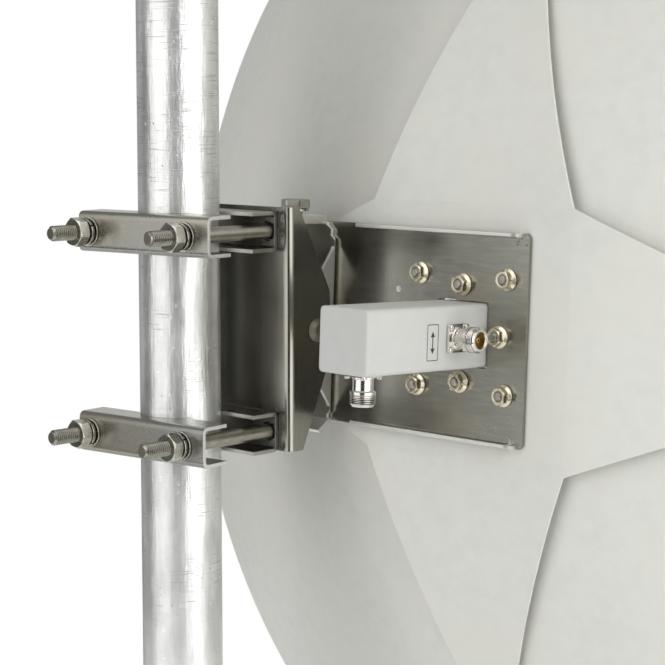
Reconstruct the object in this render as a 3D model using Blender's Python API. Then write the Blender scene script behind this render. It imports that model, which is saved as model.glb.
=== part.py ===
# Parabolic dish antenna on a clamped pole mount
# Metres, +Z up. The pole stands on the origin and the dish looks along -Y.
# The dish hangs to the -X side of the pole, so that its feed box clears the pole.

import math

import bmesh
import bpy
from mathutils import Matrix, Vector

# Pole
POLE_RADIUS = 0.0263
POLE_WALL = 0.003
POLE_HEIGHT = 1.0
FOOT_SIDE = 0.2
FOOT_THICKNESS = 0.01
ANCHOR_SPACING = 0.15
ANCHOR_HOLE_RADIUS = 0.007
CAP_HEIGHT = 0.012

# Heights above the foot's underside
AXIS_HEIGHT = 0.65
UPPER_CLAMP_HEIGHT = AXIS_HEIGHT + 0.0602
LOWER_CLAMP_HEIGHT = AXIS_HEIGHT - 0.0709

# Pole clamps, pressed from sheet; the outer ones sit turned a little on the pole, as tightened
INNER_CLAMP_LENGTH = 0.0936
OUTER_CLAMP_LENGTH = 0.109
OUTER_CLAMP_SLIP = -0.00045
CLAMP_HEIGHT = 0.0262
CLAMP_DEPTH = 0.0222
CLAMP_SHEET = 0.0025
CLAMP_BEND = 0.0032
UPPER_OUTER_BACK = 0.0365
LOWER_OUTER_BACK = 0.039
UPPER_OUTER_TURN = math.radians(8)
LOWER_OUTER_TURN = math.radians(6)
BOLT_SPACING = 0.0798
CLAMP_HOLE_RADIUS = 0.0065

# Bracket on the pole side
BRACKET_BACK = -0.0435
BRACKET_WIDTH = 0.1136
BRACKET_SHEET = 0.0025
BRACKET_BEND = 0.0055
BRACKET_TOP = AXIS_HEIGHT + 0.0758
BRACKET_BOTTOM = AXIS_HEIGHT - 0.0834

# Elevation pivot, and how the dish hangs on it
PIVOT_Y = -0.0688
PIVOT_Z = AXIS_HEIGHT - 0.0052
PIVOT_BEHIND_PLATE = 0.0209
PIVOT_BELOW_AXIS = 0.0061
DISH_AXIS_X = -0.1638
DISH_NOD = math.radians(2.4)

# Back plate and fork, in the dish's own frame
PLATE_NEAR_X = -0.052
PLATE_FAR_X = 0.2166
PLATE_TOP = 0.0645
PLATE_BOTTOM = -0.0675
PLATE_SHEET = 0.0025
LIP_DEPTH = 0.005
LIP_FAR_X = 0.09
FORK_NEAR_X = 0.1101
FORK_FAR_X = 0.2176
FORK_SHEET = 0.0025
FORK_TAB_DEPTH = 0.0257
FORK_TAB_THICKNESS = 0.0055
FORK_TAB_TOP = 0.0682
FORK_TAB_INSET = 0.0112

# Eight screws round the feed box
CORNER_SCREW = 0.0357
MIDDLE_SCREW = 0.0305
SCREW_RADIUS = 0.003
SCREW_HOLE_RADIUS = 0.0035

# Stiffening star and reflector
STAR_HALF = 0.081
STAR_TIP = 0.276
STAR_TIP_HALF = 0.0035
STAR_FOLD = 0.08
STAR_SHEET = 0.0015
DISH_RADIUS = 0.4
DISH_FOCUS = 0.292
DISH_SHEET = 0.002
DISH_FLAT_RADIUS = 0.075
DISH_LEAN = 0.027
DISH_LEAN_START = 0.15
RIM_LIP = 0.008
RIM_RADIUS = 0.004

# Feed
BOX_HALF = 0.0198
BOX_LENGTH = 0.107
BOX_CORNER = 0.003
WINDOW_HALF = 0.0207
FEED_TUBE_RADIUS = 0.016

# Gap left between pieces that touch
GAP = 0.0003

ROUND = 24


def clear_scene():
    for thing in list(bpy.data.objects):
        bpy.data.objects.remove(thing, do_unlink=True)


def make_material(name, colour, roughness, metallic):
    material = bpy.data.materials.new(name)
    material.use_nodes = True
    shader = material.node_tree.nodes["Principled BSDF"]
    shader.inputs["Base Color"].default_value = (*colour, 1.0)
    shader.inputs["Roughness"].default_value = roughness
    shader.inputs["Metallic"].default_value = metallic
    return material


def add_object(name, mesh_maker, material, parent=None):
    """A named object from a bmesh that mesh_maker fills."""
    mesh = bpy.data.meshes.new(name)
    work = bmesh.new()
    mesh_maker(work)
    bmesh.ops.recalc_face_normals(work, faces=work.faces)
    work.to_mesh(mesh)
    work.free()
    thing = bpy.data.objects.new(name, mesh)
    bpy.context.scene.collection.objects.link(thing)
    if material is None:
        thing.hide_render = True
        thing.display_type = "WIRE"
    else:
        mesh.materials.append(material)
    thing.parent = parent
    return thing


def add_boolean(thing, cutter, operation="DIFFERENCE"):
    change = thing.modifiers.new(cutter.name, "BOOLEAN")
    change.object = cutter
    change.operation = operation
    change.solver = "EXACT"


# Points on an arc of the plane, from one angle to another in degrees
def arc(centre, radius, start, end, steps):
    points = []
    for step in range(steps + 1):
        angle = math.radians(start + (end - start) * step / steps)
        points.append((centre[0] + radius * math.cos(angle), centre[1] + radius * math.sin(angle)))
    return points


# A flat outline pushed straight along one axis; the outline's two numbers are the other two axes in order
def prism(work, outline, axis, low, high):
    def place(point, along):
        if axis == "X":
            return (along, point[0], point[1])
        if axis == "Y":
            return (point[0], along, point[1])
        return (point[0], point[1], along)

    first = [work.verts.new(place(point, low)) for point in outline]
    last = [work.verts.new(place(point, high)) for point in outline]
    work.faces.new(first)
    work.faces.new(list(reversed(last)))
    count = len(outline)
    for index in range(count):
        after = (index + 1) % count
        work.faces.new((first[index], last[index], last[after], first[after]))


# Rings of points about an axis, joined in order; a ring is (along, radius, six_sided)
def ring_points(ring, axis, centre, sides, turn):
    along, radius, six_sided = ring
    points = []
    for index in range(sides):
        angle = 2 * math.pi * index / sides + turn
        reach = radius
        if six_sided:
            reach = radius / math.cos(math.pi / 6)
            if index % 2:
                reach = radius
        across = reach * math.cos(angle)
        up = reach * math.sin(angle)
        if axis == "X":
            points.append((centre[0] + along, centre[1] + across, centre[2] + up))
        elif axis == "Y":
            points.append((centre[0] + across, centre[1] + along, centre[2] + up))
        else:
            points.append((centre[0] + across, centre[1] + up, centre[2] + along))
    return points


def turned(work, rings, axis, centre, sides=12, hollow=False, turn=0.0):
    loops = []
    for ring in rings:
        points = ring_points(ring, axis, centre, sides, turn)
        loops.append([work.verts.new(point) for point in points])
    pairs = list(zip(loops, loops[1:]))
    if hollow:
        pairs.append((loops[-1], loops[0]))
    else:
        work.faces.new(loops[0])
        work.faces.new(loops[-1])
    for low, high in pairs:
        for index in range(sides):
            after = (index + 1) % sides
            work.faces.new((low[index], low[after], high[after], high[index]))


def add_prism(name, outline, axis, low, high, material, parent=None):
    return add_object(name, lambda work: prism(work, outline, axis, low, high), material, parent)


def add_turned(name, rings, axis, centre, material, parent=None, **settings):
    return add_object(name, lambda work: turned(work, rings, axis, centre, **settings), material, parent)


def drill(thing, name, axis, centre, radius, reach, parent=None):
    """Cuts a round hole right through thing."""
    rings = [(-reach, radius, False), (reach, radius, False)]
    cutter = add_turned(name, rings, axis, centre, None, parent)
    add_boolean(thing, cutter)


def rectangle(left, right, low, high):
    return [(left, low), (right, low), (right, high), (left, high)]


# Pole with its foot and cap
def make_pole(galvanised, plastic):
    half = FOOT_SIDE / 2
    foot = add_prism("foot_plate", rectangle(-half, half, -half, half), "Z", 0, FOOT_THICKNESS, galvanised)
    for across in (-1, 1):
        for along in (-1, 1):
            place = (across * ANCHOR_SPACING / 2, along * ANCHOR_SPACING / 2, 0)
            drill(foot, f"anchor_hole_{across}_{along}", "Z", place, ANCHOR_HOLE_RADIUS, 2 * FOOT_THICKNESS)
    bottom = FOOT_THICKNESS + GAP
    inside = POLE_RADIUS - POLE_WALL
    rings = [
        (bottom, POLE_RADIUS, False),
        (POLE_HEIGHT, POLE_RADIUS, False),
        (POLE_HEIGHT, inside, False),
        (bottom, inside, False),
    ]
    add_turned("pole", rings, "Z", (0, 0, 0), galvanised, sides=48, hollow=True)
    seat = POLE_HEIGHT + GAP
    plug = inside - GAP
    rings = [
        (seat - CAP_HEIGHT, plug, False),
        (seat, plug, False),
        (seat, POLE_RADIUS, False),
        (seat + 0.003, POLE_RADIUS, False),
        (seat + 0.005, POLE_RADIUS - 0.004, False),
    ]
    add_turned("pole_cap", rings, "Z", (0, 0, 0), plastic, sides=ROUND)


# One pressed channel of a pole clamp: its web stands at back, and its flanges reach towards the pole
def make_clamp_channel(name, height, back, towards, length, slip, turn, material):
    half = CLAMP_HEIGHT / 2
    front = back + towards * CLAMP_DEPTH
    inner = CLAMP_BEND - CLAMP_SHEET
    bend = back + towards * CLAMP_BEND
    outline = [(front, -half)]
    outline += [(back + towards * (CLAMP_BEND - CLAMP_BEND * math.sin(math.radians(angle))),
                 -half + CLAMP_BEND - CLAMP_BEND * math.cos(math.radians(angle))) for angle in (0, 30, 60, 90)]
    outline += [(point[0], -point[1]) for point in reversed(outline)]
    outline += [(front, half - CLAMP_SHEET)]
    web = [(bend - towards * inner * math.sin(math.radians(angle)),
            half - CLAMP_BEND + inner * math.cos(math.radians(angle))) for angle in (0, 90)]
    outline += web
    outline += [(point[0], -point[1]) for point in reversed(web)]
    outline += [(front, CLAMP_SHEET - half)]
    channel = add_prism(name, outline, "X", slip - length / 2, slip + length / 2, material)
    channel.location = (0, 0, height)
    channel.rotation_euler = (0, 0, turn)
    seat = [(-0.03, POLE_RADIUS + GAP, False), (0.03, POLE_RADIUS + GAP, False)]
    cutter = add_turned(name + "_seat_cutter", seat, "Z", (0, 0, height), None, sides=48)
    add_boolean(channel, cutter)
    for side in (-1, 1):
        place = (side * BOLT_SPACING / 2, back, height)
        drill(channel, f"{name}_hole_{side}", "Y", place, CLAMP_HOLE_RADIUS, 0.018)
    return channel


# M10 carriage bolt along +Y: domed head inside the bracket, plain shank, threaded end
def make_clamp_bolt(name, side, height, tip, material):
    seat = BRACKET_BACK - BRACKET_SHEET - GAP
    rings = [
        (seat - 0.0046, 0.0030, False),
        (seat - 0.0038, 0.0065, False),
        (seat - 0.0020, 0.0090, False),
        (seat, 0.0098, False),
        (seat, 0.005, False),
        (tip - 0.001, 0.005, False),
        (tip, 0.004, False),
    ]
    add_turned(name, rings, "Y", (side * BOLT_SPACING / 2, 0, height), material)


# Flat washer, spring washer and M10 nut in one, seated on the turned outer channel
def make_clamp_nut(name, side, height, back, turn, spin, material):
    edge = side * BOLT_SPACING / 2 + 0.0095
    seat = back / math.cos(turn) + edge * math.tan(turn) + GAP
    bore = 0.005 + GAP
    rings = [
        (seat, bore, False),
        (seat, 0.0095, False),
        (seat + 0.0016, 0.0095, False),
        (seat + 0.0016, 0.0088, False),
        (seat + 0.0034, 0.0088, False),
        (seat + 0.0034, 0.0080, False),
        (seat + 0.0040, 0.0085, True),
        (seat + 0.0104, 0.0085, True),
        (seat + 0.0112, 0.0078, True),
        (seat + 0.0112, bore, False),
    ]
    place = (side * BOLT_SPACING / 2, 0, height)
    add_turned(name, rings, "Y", place, material, hollow=True, turn=math.radians(spin))


def make_clamps(steel, bright):
    levels = {
        "upper": (UPPER_CLAMP_HEIGHT, UPPER_OUTER_BACK, UPPER_OUTER_TURN),
        "lower": (LOWER_CLAMP_HEIGHT, LOWER_OUTER_BACK, LOWER_OUTER_TURN),
    }
    tips = {"upper": {-1: 0.0605, 1: 0.0732}, "lower": {-1: 0.0670, 1: 0.0750}}
    spins = {"upper": {-1: 15, 1: 13}, "lower": {-1: 38, 1: 8}}
    inner = BRACKET_BACK + GAP
    for level, (height, back, turn) in levels.items():
        make_clamp_channel(f"{level}_inner_clamp", height, inner, 1, INNER_CLAMP_LENGTH, 0, 0, steel)
        slip = OUTER_CLAMP_SLIP
        make_clamp_channel(f"{level}_outer_clamp", height, back, -1, OUTER_CLAMP_LENGTH, slip, turn, steel)
        for side, word in ((-1, "near"), (1, "far")):
            make_clamp_bolt(f"{level}_{word}_clamp_bolt", side, height, tips[level][side], bright)
            spin = spins[level][side]
            make_clamp_nut(f"{level}_{word}_clamp_nut", side, height, back, turn, spin, bright)


# U of folded sheet: back web on the clamps, and two cheeks that taper to the pivot
def make_pole_bracket(steel):
    half = BRACKET_WIDTH / 2
    inner = half - BRACKET_SHEET
    back = BRACKET_BACK
    front = PIVOT_Y - 0.0138
    outer_bend = BRACKET_BEND
    inner_bend = BRACKET_BEND - BRACKET_SHEET
    corner_x = half - outer_bend
    corner_y = back - outer_bend
    outline = [(-half, front)]
    outline += arc((-corner_x, corner_y), outer_bend, 180, 90, 4)
    outline += arc((corner_x, corner_y), outer_bend, 90, 0, 4)
    outline += [(half, front), (inner, front)]
    outline += arc((corner_x, corner_y), inner_bend, 0, 90, 4)
    outline += arc((-corner_x, corner_y), inner_bend, 90, 180, 4)
    outline += [(-inner, front)]
    bracket = add_prism("pole_bracket", outline, "Z", BRACKET_BOTTOM, BRACKET_TOP, steel)
    side = [
        (back + 0.01, BRACKET_BOTTOM - 0.01),
        (back + 0.01, BRACKET_TOP + 0.01),
        (back - 0.0103, BRACKET_TOP + 0.01),
        (back - 0.0103, BRACKET_TOP - 0.001),
        (PIVOT_Y - 0.0122, PIVOT_Z + 0.0254),
    ]
    side += arc((PIVOT_Y + 0.006, PIVOT_Z + 0.002), 0.0198, 158, 202, 4)
    side += [
        (PIVOT_Y - 0.0095, PIVOT_Z - 0.0269),
        (back - 0.0085, BRACKET_BOTTOM - 0.01),
    ]
    cutter = add_prism("pole_bracket_side", side, "X", -BRACKET_WIDTH, BRACKET_WIDTH, None)
    add_boolean(bracket, cutter, "INTERSECT")
    for height in (UPPER_CLAMP_HEIGHT, LOWER_CLAMP_HEIGHT):
        for way in (-1, 1):
            place = (way * BOLT_SPACING / 2, back, height)
            drill(bracket, f"bracket_bolt_hole_{way}_{height:.3f}", "Y", place, 0.0055, 0.02)
    drill(bracket, "bracket_pivot_hole", "X", (0, PIVOT_Y, PIVOT_Z), 0.0055, BRACKET_WIDTH)


# Pivot bolts through the two pairs of cheeks: domed head outside, nut inside the fork
def make_pivot_bolts(bright):
    outer = BRACKET_WIDTH / 2 + GAP
    nut = FORK_NEAR_X + DISH_AXIS_X + FORK_SHEET + 2 * GAP
    for side in (-1, 1):
        word = "near" if side < 0 else "far"
        rings = [
            (side * (outer + 0.0046), 0.0035, False),
            (side * (outer + 0.0038), 0.0068, False),
            (side * (outer + 0.0018), 0.0090, False),
            (side * outer, 0.0096, False),
            (side * outer, 0.005, False),
            (side * abs(nut), 0.005, False),
            (side * abs(nut), 0.0085, True),
            (side * (abs(nut) - 0.008), 0.0085, True),
            (side * (abs(nut) - 0.008), 0.005, False),
            (side * (abs(nut) - 0.011), 0.0045, False),
        ]
        add_turned(f"{word}_pivot_bolt", rings, "X", (0, PIVOT_Y, PIVOT_Z), bright, turn=0.2)


# The eight screw places round the feed box, as (x, z) in the dish's frame
def screw_places():
    a = CORNER_SCREW
    b = MIDDLE_SCREW
    return [(a, a), (0, b), (-a, a), (-b, 0), (-a, -a), (0, -b), (a, -a), (b, 0)]


def drill_screws(thing, name, frame):
    for number, (across, up) in enumerate(screw_places()):
        place = frame(across, 0, up)
        drill(thing, f"{name}_screw_hole_{number}", "Y", place, SCREW_HOLE_RADIUS, 0.02, thing.parent)


def cut_window(thing, name, frame):
    low = frame(-WINDOW_HALF, 0, -WINDOW_HALF)
    high = frame(WINDOW_HALF, 0, WINDOW_HALF)
    outline = rectangle(low[0], high[0], low[2], high[2])
    cutter = add_prism(name + "_window", outline, "Y", low[1] - 0.02, low[1] + 0.02, None, thing.parent)
    add_boolean(thing, cutter)


# A point of the dish's frame (origin where the dish axis meets the plate's back), seen from the pivot
def from_pivot(x, y, z):
    return (x + DISH_AXIS_X, y - PIVOT_BEHIND_PLATE, z + PIVOT_BELOW_AXIS)


def shift_outline(outline, first, second):
    return [(point[0] + first, point[1] + second) for point in outline]


# Flat plate that carries the fork at one end and the dish at the other, with two short lips
def make_back_plate(steel, pivot):
    x0, y0, z0 = from_pivot(0, 0, 0)
    chamfer = 0.0025
    outline = [
        (PLATE_NEAR_X, PLATE_BOTTOM + chamfer),
        (PLATE_NEAR_X + chamfer, PLATE_BOTTOM),
        (PLATE_FAR_X, PLATE_BOTTOM),
        (PLATE_FAR_X, PLATE_TOP),
        (PLATE_NEAR_X + chamfer, PLATE_TOP),
        (PLATE_NEAR_X, PLATE_TOP - chamfer),
    ]
    outline = shift_outline(outline, x0, z0)
    plate = add_prism("back_plate", outline, "Y", y0 - PLATE_SHEET, y0, steel, pivot)
    ends = [PLATE_NEAR_X + 0.004, LIP_FAR_X]
    for word, low, high in (
        ("top", PLATE_TOP - PLATE_SHEET, PLATE_TOP),
        ("bottom", PLATE_BOTTOM, PLATE_BOTTOM + PLATE_SHEET),
    ):
        strip = rectangle(ends[0] + x0, ends[1] + x0, low + z0, high + z0)
        lip = add_prism(f"plate_{word}_lip", strip, "Y", y0 - PLATE_SHEET / 2, y0 + LIP_DEPTH, None, pivot)
        add_boolean(plate, lip, "UNION")
    drill_screws(plate, "plate", from_pivot)
    cut_window(plate, "plate", from_pivot)


# Fork welded on the plate: two cheeks to the pivot, a thick tab above and a sloping flange below
def make_fork(steel, pivot):
    x0, y0, z0 = from_pivot(0, 0, 0)
    near, far = FORK_NEAR_X + x0, FORK_FAR_X + x0
    front = y0 + GAP
    back = front + FORK_SHEET
    wave = [(0.0, 0.0500), (0.0003, 0.0523), (0.0043, 0.0552), (0.0037, 0.0589), (0.0078, 0.0621), (0.0084, 0.0640)]
    lower = [(0.0, -0.0580), (0.0008, -0.0620), (0.0036, -0.0635), (0.0034, -0.0660), (0.0022, -0.0678)]
    outline = [(near + step, z0 + up) for step, up in wave]
    outline += [(far - step, z0 + up) for step, up in reversed(wave)]
    outline += [(far - step, z0 + up) for step, up in lower]
    outline += [(near + step, z0 + up) for step, up in reversed(lower)]
    fork = add_prism("fork", outline, "Y", front, back, steel, pivot)
    cheek = [(front, 0.048 + z0), (front, -0.058 + z0), (back, -0.058 + z0)]
    cheek += arc((0, 0), 0.0165, -50, 40, 6)
    cheek += [(back, 0.048 + z0)]
    for word, low in (("near", near), ("far", far - FORK_SHEET)):
        plate = add_prism(f"fork_{word}_cheek", cheek, "X", low, low + FORK_SHEET, None, pivot)
        add_boolean(fork, plate, "UNION")
    inset = FORK_TAB_INSET
    strip = rectangle(near + inset, far - inset, front, front + FORK_TAB_DEPTH)
    top = FORK_TAB_TOP + z0
    tab = add_prism("fork_top_tab", strip, "Z", top - FORK_TAB_THICKNESS, top, None, pivot)
    add_boolean(fork, tab, "UNION")
    flange = [
        (front, z0 - 0.0665),
        (back, z0 - 0.0665),
        (y0 + 0.0125, z0 - 0.0733),
        (y0 + 0.0110, z0 - 0.0755),
        (front, z0 - 0.0692),
    ]
    slope = add_prism("fork_bottom_flange", flange, "X", near + 0.001, far - 0.001, None, pivot)
    add_boolean(fork, slope, "UNION")
    drill(fork, "fork_pivot_hole", "X", (0, 0, 0), 0.0055, BRACKET_WIDTH, pivot)
    screw = adjusting_screw_place()
    drill(fork, "fork_tab_hole", "Z", (screw[0], screw[1], top), 0.0053, 0.01, pivot)


# Where the adjusting screw goes down through the fork's top tab
def adjusting_screw_place():
    x0, y0, z0 = from_pivot(0, 0, 0)
    return (x0 + 0.1338, y0 + 0.0170)


# Hexagon screw with a spring washer and a flat washer, standing on the tab
def make_adjusting_screw(bright, pivot):
    z0 = from_pivot(0, 0, 0)[2]
    place = adjusting_screw_place()
    seat = FORK_TAB_TOP + z0 + GAP
    rings = [
        (seat - 0.014, 0.004, False),
        (seat - 0.013, 0.005, False),
        (seat, 0.005, False),
        (seat, 0.0091, False),
        (seat + 0.0018, 0.0091, False),
        (seat + 0.0018, 0.0088, False),
        (seat + 0.0037, 0.0088, False),
        (seat + 0.0040, 0.0085, True),
        (seat + 0.0095, 0.0085, True),
        (seat + 0.0100, 0.0080, True),
    ]
    add_turned("adjusting_screw", rings, "Z", (place[0], place[1], 0), bright, pivot, turn=0.6)


# Square in the middle and four tapering points folded forward along the reflector
def star_depth(reach):
    """Front face of the star at this distance from the axis, along a point's middle."""
    flat = -PLATE_SHEET - GAP - STAR_SHEET
    if reach <= STAR_HALF:
        return flat
    step = reach - STAR_HALF
    length = STAR_TIP - STAR_HALF
    drop = dish_depth(STAR_TIP) + 2 * GAP - flat + STAR_FOLD * length
    return flat - STAR_FOLD * step + drop * (step / length) ** 2


def dish_depth(reach):
    """Back face of the reflector at this distance from the axis."""
    flat = -PLATE_SHEET - STAR_SHEET - 2 * GAP
    if reach <= DISH_FLAT_RADIUS:
        return flat
    return flat - (reach**2 - DISH_FLAT_RADIUS**2) / (4 * DISH_FOCUS)


def dish_lean(across, up):
    """How far the bowl leans forward here: its top a little more than its flat middle."""
    reach = math.hypot(across, up)
    if reach <= DISH_LEAN_START:
        return 0.0
    return -DISH_LEAN * up * (reach - DISH_LEAN_START) / (DISH_RADIUS - DISH_LEAN_START)


def make_star(painted, pivot):
    steps = 7

    def fill(work):
        faces = []
        for turn in range(4):
            spin = Matrix.Rotation(math.pi / 2 * turn, 3, "Y")
            rows = []
            for step in range(steps + 1):
                share = step / steps
                reach = STAR_HALF + (STAR_TIP - STAR_HALF) * share
                half = STAR_HALF + (STAR_TIP_HALF - STAR_HALF) * share
                row = []
                for side in (-1, 1):
                    point = spin @ Vector((side * half, star_depth(reach), reach))
                    point.y += dish_lean(point.x, point.z)
                    row.append(point)
                rows.append(row)
            faces.append(rows)
        layers = []
        for lift in (0.0, STAR_SHEET):
            known = {}

            def vertex(point):
                key = (round(point.x, 6), round(point.z, 6))
                if key not in known:
                    place = from_pivot(point.x, point.y + lift, point.z)
                    known[key] = work.verts.new(place)
                return known[key]

            made = []
            for rows in faces:
                for low, high in zip(rows, rows[1:]):
                    made.append([vertex(low[0]), vertex(low[1]), vertex(high[1]), vertex(high[0])])
            corners = [vertex(rows[0][0]) for rows in faces]
            made.append(corners)
            layers.append((made, known))
        for made, known in layers:
            for loop in made:
                work.faces.new(loop)
        lower, upper = layers[0][1], layers[1][1]
        edges = {}
        for loop in layers[0][0]:
            for index, one in enumerate(loop):
                two = loop[(index + 1) % len(loop)]
                key = frozenset((one, two))
                edges[key] = edges.get(key, 0) + 1
        match = {lower[key]: upper[key] for key in lower}
        for key, uses in edges.items():
            if uses == 1:
                one, two = tuple(key)
                work.faces.new((one, two, match[two], match[one]))

    star = add_object("stiffening_star", fill, painted, pivot)
    drill_screws(star, "star", from_pivot)
    cut_window(star, "star", from_pivot)


# Paraboloid shell with a pressed flat centre and a rolled rim
def make_reflector(painted, pivot):
    reaches = [DISH_FLAT_RADIUS + (DISH_RADIUS - DISH_FLAT_RADIUS) * step / 9 for step in range(10)]
    rings = [(dish_depth(reach), reach) for reach in reaches]
    edge = dish_depth(DISH_RADIUS)
    rings += [(edge - RIM_LIP * 0.3, DISH_RADIUS + RIM_RADIUS)]
    rings += [(edge - RIM_LIP, DISH_RADIUS + RIM_RADIUS)]
    rings += [(edge - RIM_LIP, DISH_RADIUS + RIM_RADIUS - DISH_SHEET)]
    rings += [(edge - RIM_LIP * 0.5, DISH_RADIUS - DISH_SHEET * 0.5)]
    rings += [(dish_depth(reach) - DISH_SHEET, reach) for reach in reversed(reaches[:-1])]
    rings = [(along, reach, False) for along, reach in rings]
    centre = from_pivot(0, 0, 0)

    def fill(work):
        turned(work, rings, "Y", centre, sides=64)
        for vertex in work.verts:
            vertex.co.y += dish_lean(vertex.co.x - centre[0], vertex.co.z - centre[2])

    dish = add_object("reflector", fill, painted, pivot)
    drill_screws(dish, "dish", from_pivot)
    cut_window(dish, "dish", from_pivot)


# Screws that hold plate, star and reflector together, with flange nuts behind
def make_screws(bright, pivot):
    front = dish_depth(0) - DISH_SHEET - GAP
    for number, (across, up) in enumerate(screw_places(), start=1):
        centre = from_pivot(across, 0, up)
        rings = [
            (front - 0.0035, 0.0045, False),
            (front - 0.0028, 0.0058, False),
            (front, 0.0065, False),
            (front, SCREW_RADIUS, False),
            (0.0066, SCREW_RADIUS, False),
            (0.0072, SCREW_RADIUS - 0.0006, False),
        ]
        add_turned(f"screw_{number}", rings, "Y", centre, bright, pivot)
        bore = SCREW_RADIUS + GAP
        rings = [
            (GAP, bore, False),
            (GAP, 0.0071, False),
            (GAP + 0.0012, 0.0071, False),
            (GAP + 0.0018, 0.0052, True),
            (GAP + 0.0056, 0.0052, True),
            (GAP + 0.0062, 0.0045, True),
            (GAP + 0.0062, bore, False),
        ]
        add_turned(f"flange_nut_{number}", rings, "Y", centre, bright, pivot, hollow=True, turn=0.35 * number)


# Square box behind the dish, rounded along its edges
def make_feed_box(white, pivot):
    centre = from_pivot(0, 0, 0)
    half = BOX_HALF - BOX_CORNER
    outline = []
    for quarter, (across, up) in enumerate(((1, 1), (-1, 1), (-1, -1), (1, -1))):
        middle = (centre[0] + across * half, centre[2] + up * half)
        outline += arc(middle, BOX_CORNER, 90 * quarter, 90 * quarter + 90, 3)
    front = centre[1] + dish_depth(0) - DISH_SHEET - 0.002
    box = add_prism("feed_box", outline, "Y", front, centre[1] + BOX_LENGTH, white, pivot)
    edge = box.modifiers.new("soft_end", "BEVEL")
    edge.width = 0.0015
    edge.segments = 2
    edge.limit_method = "ANGLE"
    edge.angle_limit = math.radians(60)


# Coaxial socket: square flange, collar and threaded end with an open mouth
def make_socket(name, axis, centre, way, plated, pivot):
    def fill(work):
        rings = [
            (way * 0.0022, 0.0079, False),
            (way * 0.0050, 0.0079, False),
            (way * 0.0062, 0.0066, False),
            (way * 0.0115, 0.0066, False),
            (way * 0.0120, 0.0079, False),
            (way * 0.0200, 0.0079, False),
            (way * 0.0200, 0.0043, False),
            (way * 0.0100, 0.0043, False),
        ]
        turned(work, rings, axis, centre, sides=ROUND)

    half = 0.00875
    if axis == "Z":
        outline = rectangle(centre[0] - half, centre[0] + half, centre[1] - half, centre[1] + half)
        base = centre[2]
    else:
        outline = rectangle(centre[1] - half, centre[1] + half, centre[2] - half, centre[2] + half)
        base = centre[0]
    low, high = sorted((base + way * GAP, base + way * 0.0025))
    socket = add_prism(name, outline, axis, low, high, plated, pivot)
    barrel = add_object(name + "_barrel", fill, None, pivot)
    add_boolean(socket, barrel, "UNION")


# Round feed tube in front of the reflector, with its cap near the focus
def make_feed_front(aluminium, plastic, pivot):
    centre = from_pivot(0, 0, 0)
    start = dish_depth(0) - DISH_SHEET - 0.002 - GAP
    end = -0.262
    rings = [
        (start, 0.024, False),
        (start - 0.003, 0.024, False),
        (start - 0.003, FEED_TUBE_RADIUS, False),
        (end, FEED_TUBE_RADIUS, False),
    ]
    add_turned("feed_tube", rings, "Y", centre, aluminium, pivot, sides=ROUND)
    tip = end - GAP
    rings = [
        (tip, FEED_TUBE_RADIUS, False),
        (tip - 0.006, FEED_TUBE_RADIUS + 0.001, False),
        (tip - 0.022, 0.030, False),
        (tip - 0.024, 0.036, False),
        (tip - 0.031, 0.036, False),
        (tip - 0.034, 0.030, False),
    ]
    add_turned("feed_cap", rings, "Y", centre, plastic, pivot, sides=ROUND)


def main():
    clear_scene()
    galvanised = make_material("galvanised_steel", (0.62, 0.63, 0.63), 0.35, 1.0)
    steel = make_material("stainless_sheet", (0.42, 0.41, 0.38), 0.3, 1.0)
    bright = make_material("bright_fixings", (0.66, 0.63, 0.55), 0.3, 1.0)
    painted = make_material("painted_sheet", (0.74, 0.75, 0.70), 0.5, 0.0)
    white = make_material("white_box", (0.88, 0.89, 0.88), 0.4, 0.0)
    plated = make_material("plated_socket", (0.72, 0.69, 0.6), 0.25, 1.0)
    plastic = make_material("plastic", (0.12, 0.12, 0.12), 0.5, 0.0)
    pale_plastic = make_material("pale_plastic", (0.85, 0.85, 0.83), 0.45, 0.0)

    make_pole(galvanised, plastic)
    make_clamps(steel, bright)
    make_pole_bracket(steel)
    make_pivot_bolts(bright)

    pivot = bpy.data.objects.new("elevation_pivot", None)
    bpy.context.scene.collection.objects.link(pivot)
    pivot.location = (0, PIVOT_Y, PIVOT_Z)
    pivot.rotation_euler = (DISH_NOD, 0, 0)

    make_back_plate(steel, pivot)
    make_fork(steel, pivot)
    make_adjusting_screw(bright, pivot)
    make_star(painted, pivot)
    make_reflector(painted, pivot)
    make_screws(bright, pivot)
    make_feed_box(white, pivot)
    box = from_pivot(0, 0, 0)
    make_socket("bottom_socket", "Z", (box[0], box[1] + 0.0885, box[2] - BOX_HALF), -1, plated, pivot)
    make_socket("side_socket", "X", (box[0] - BOX_HALF, box[1] + 0.0287, box[2]), -1, plated, pivot)
    make_feed_front(painted, pale_plastic, pivot)


main()
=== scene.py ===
"""Looks of a parabolic dish antenna hung on a round post by a folded steel bracket.

The sections follow the order of assembly: post, clamps, bracket, plate and fork, dish, feed.
Metres, +Z up. The dish looks along -Y and hangs to the -X side of the post.
"""

import math

import bmesh
import bpy
from mathutils import Matrix, Vector


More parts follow.
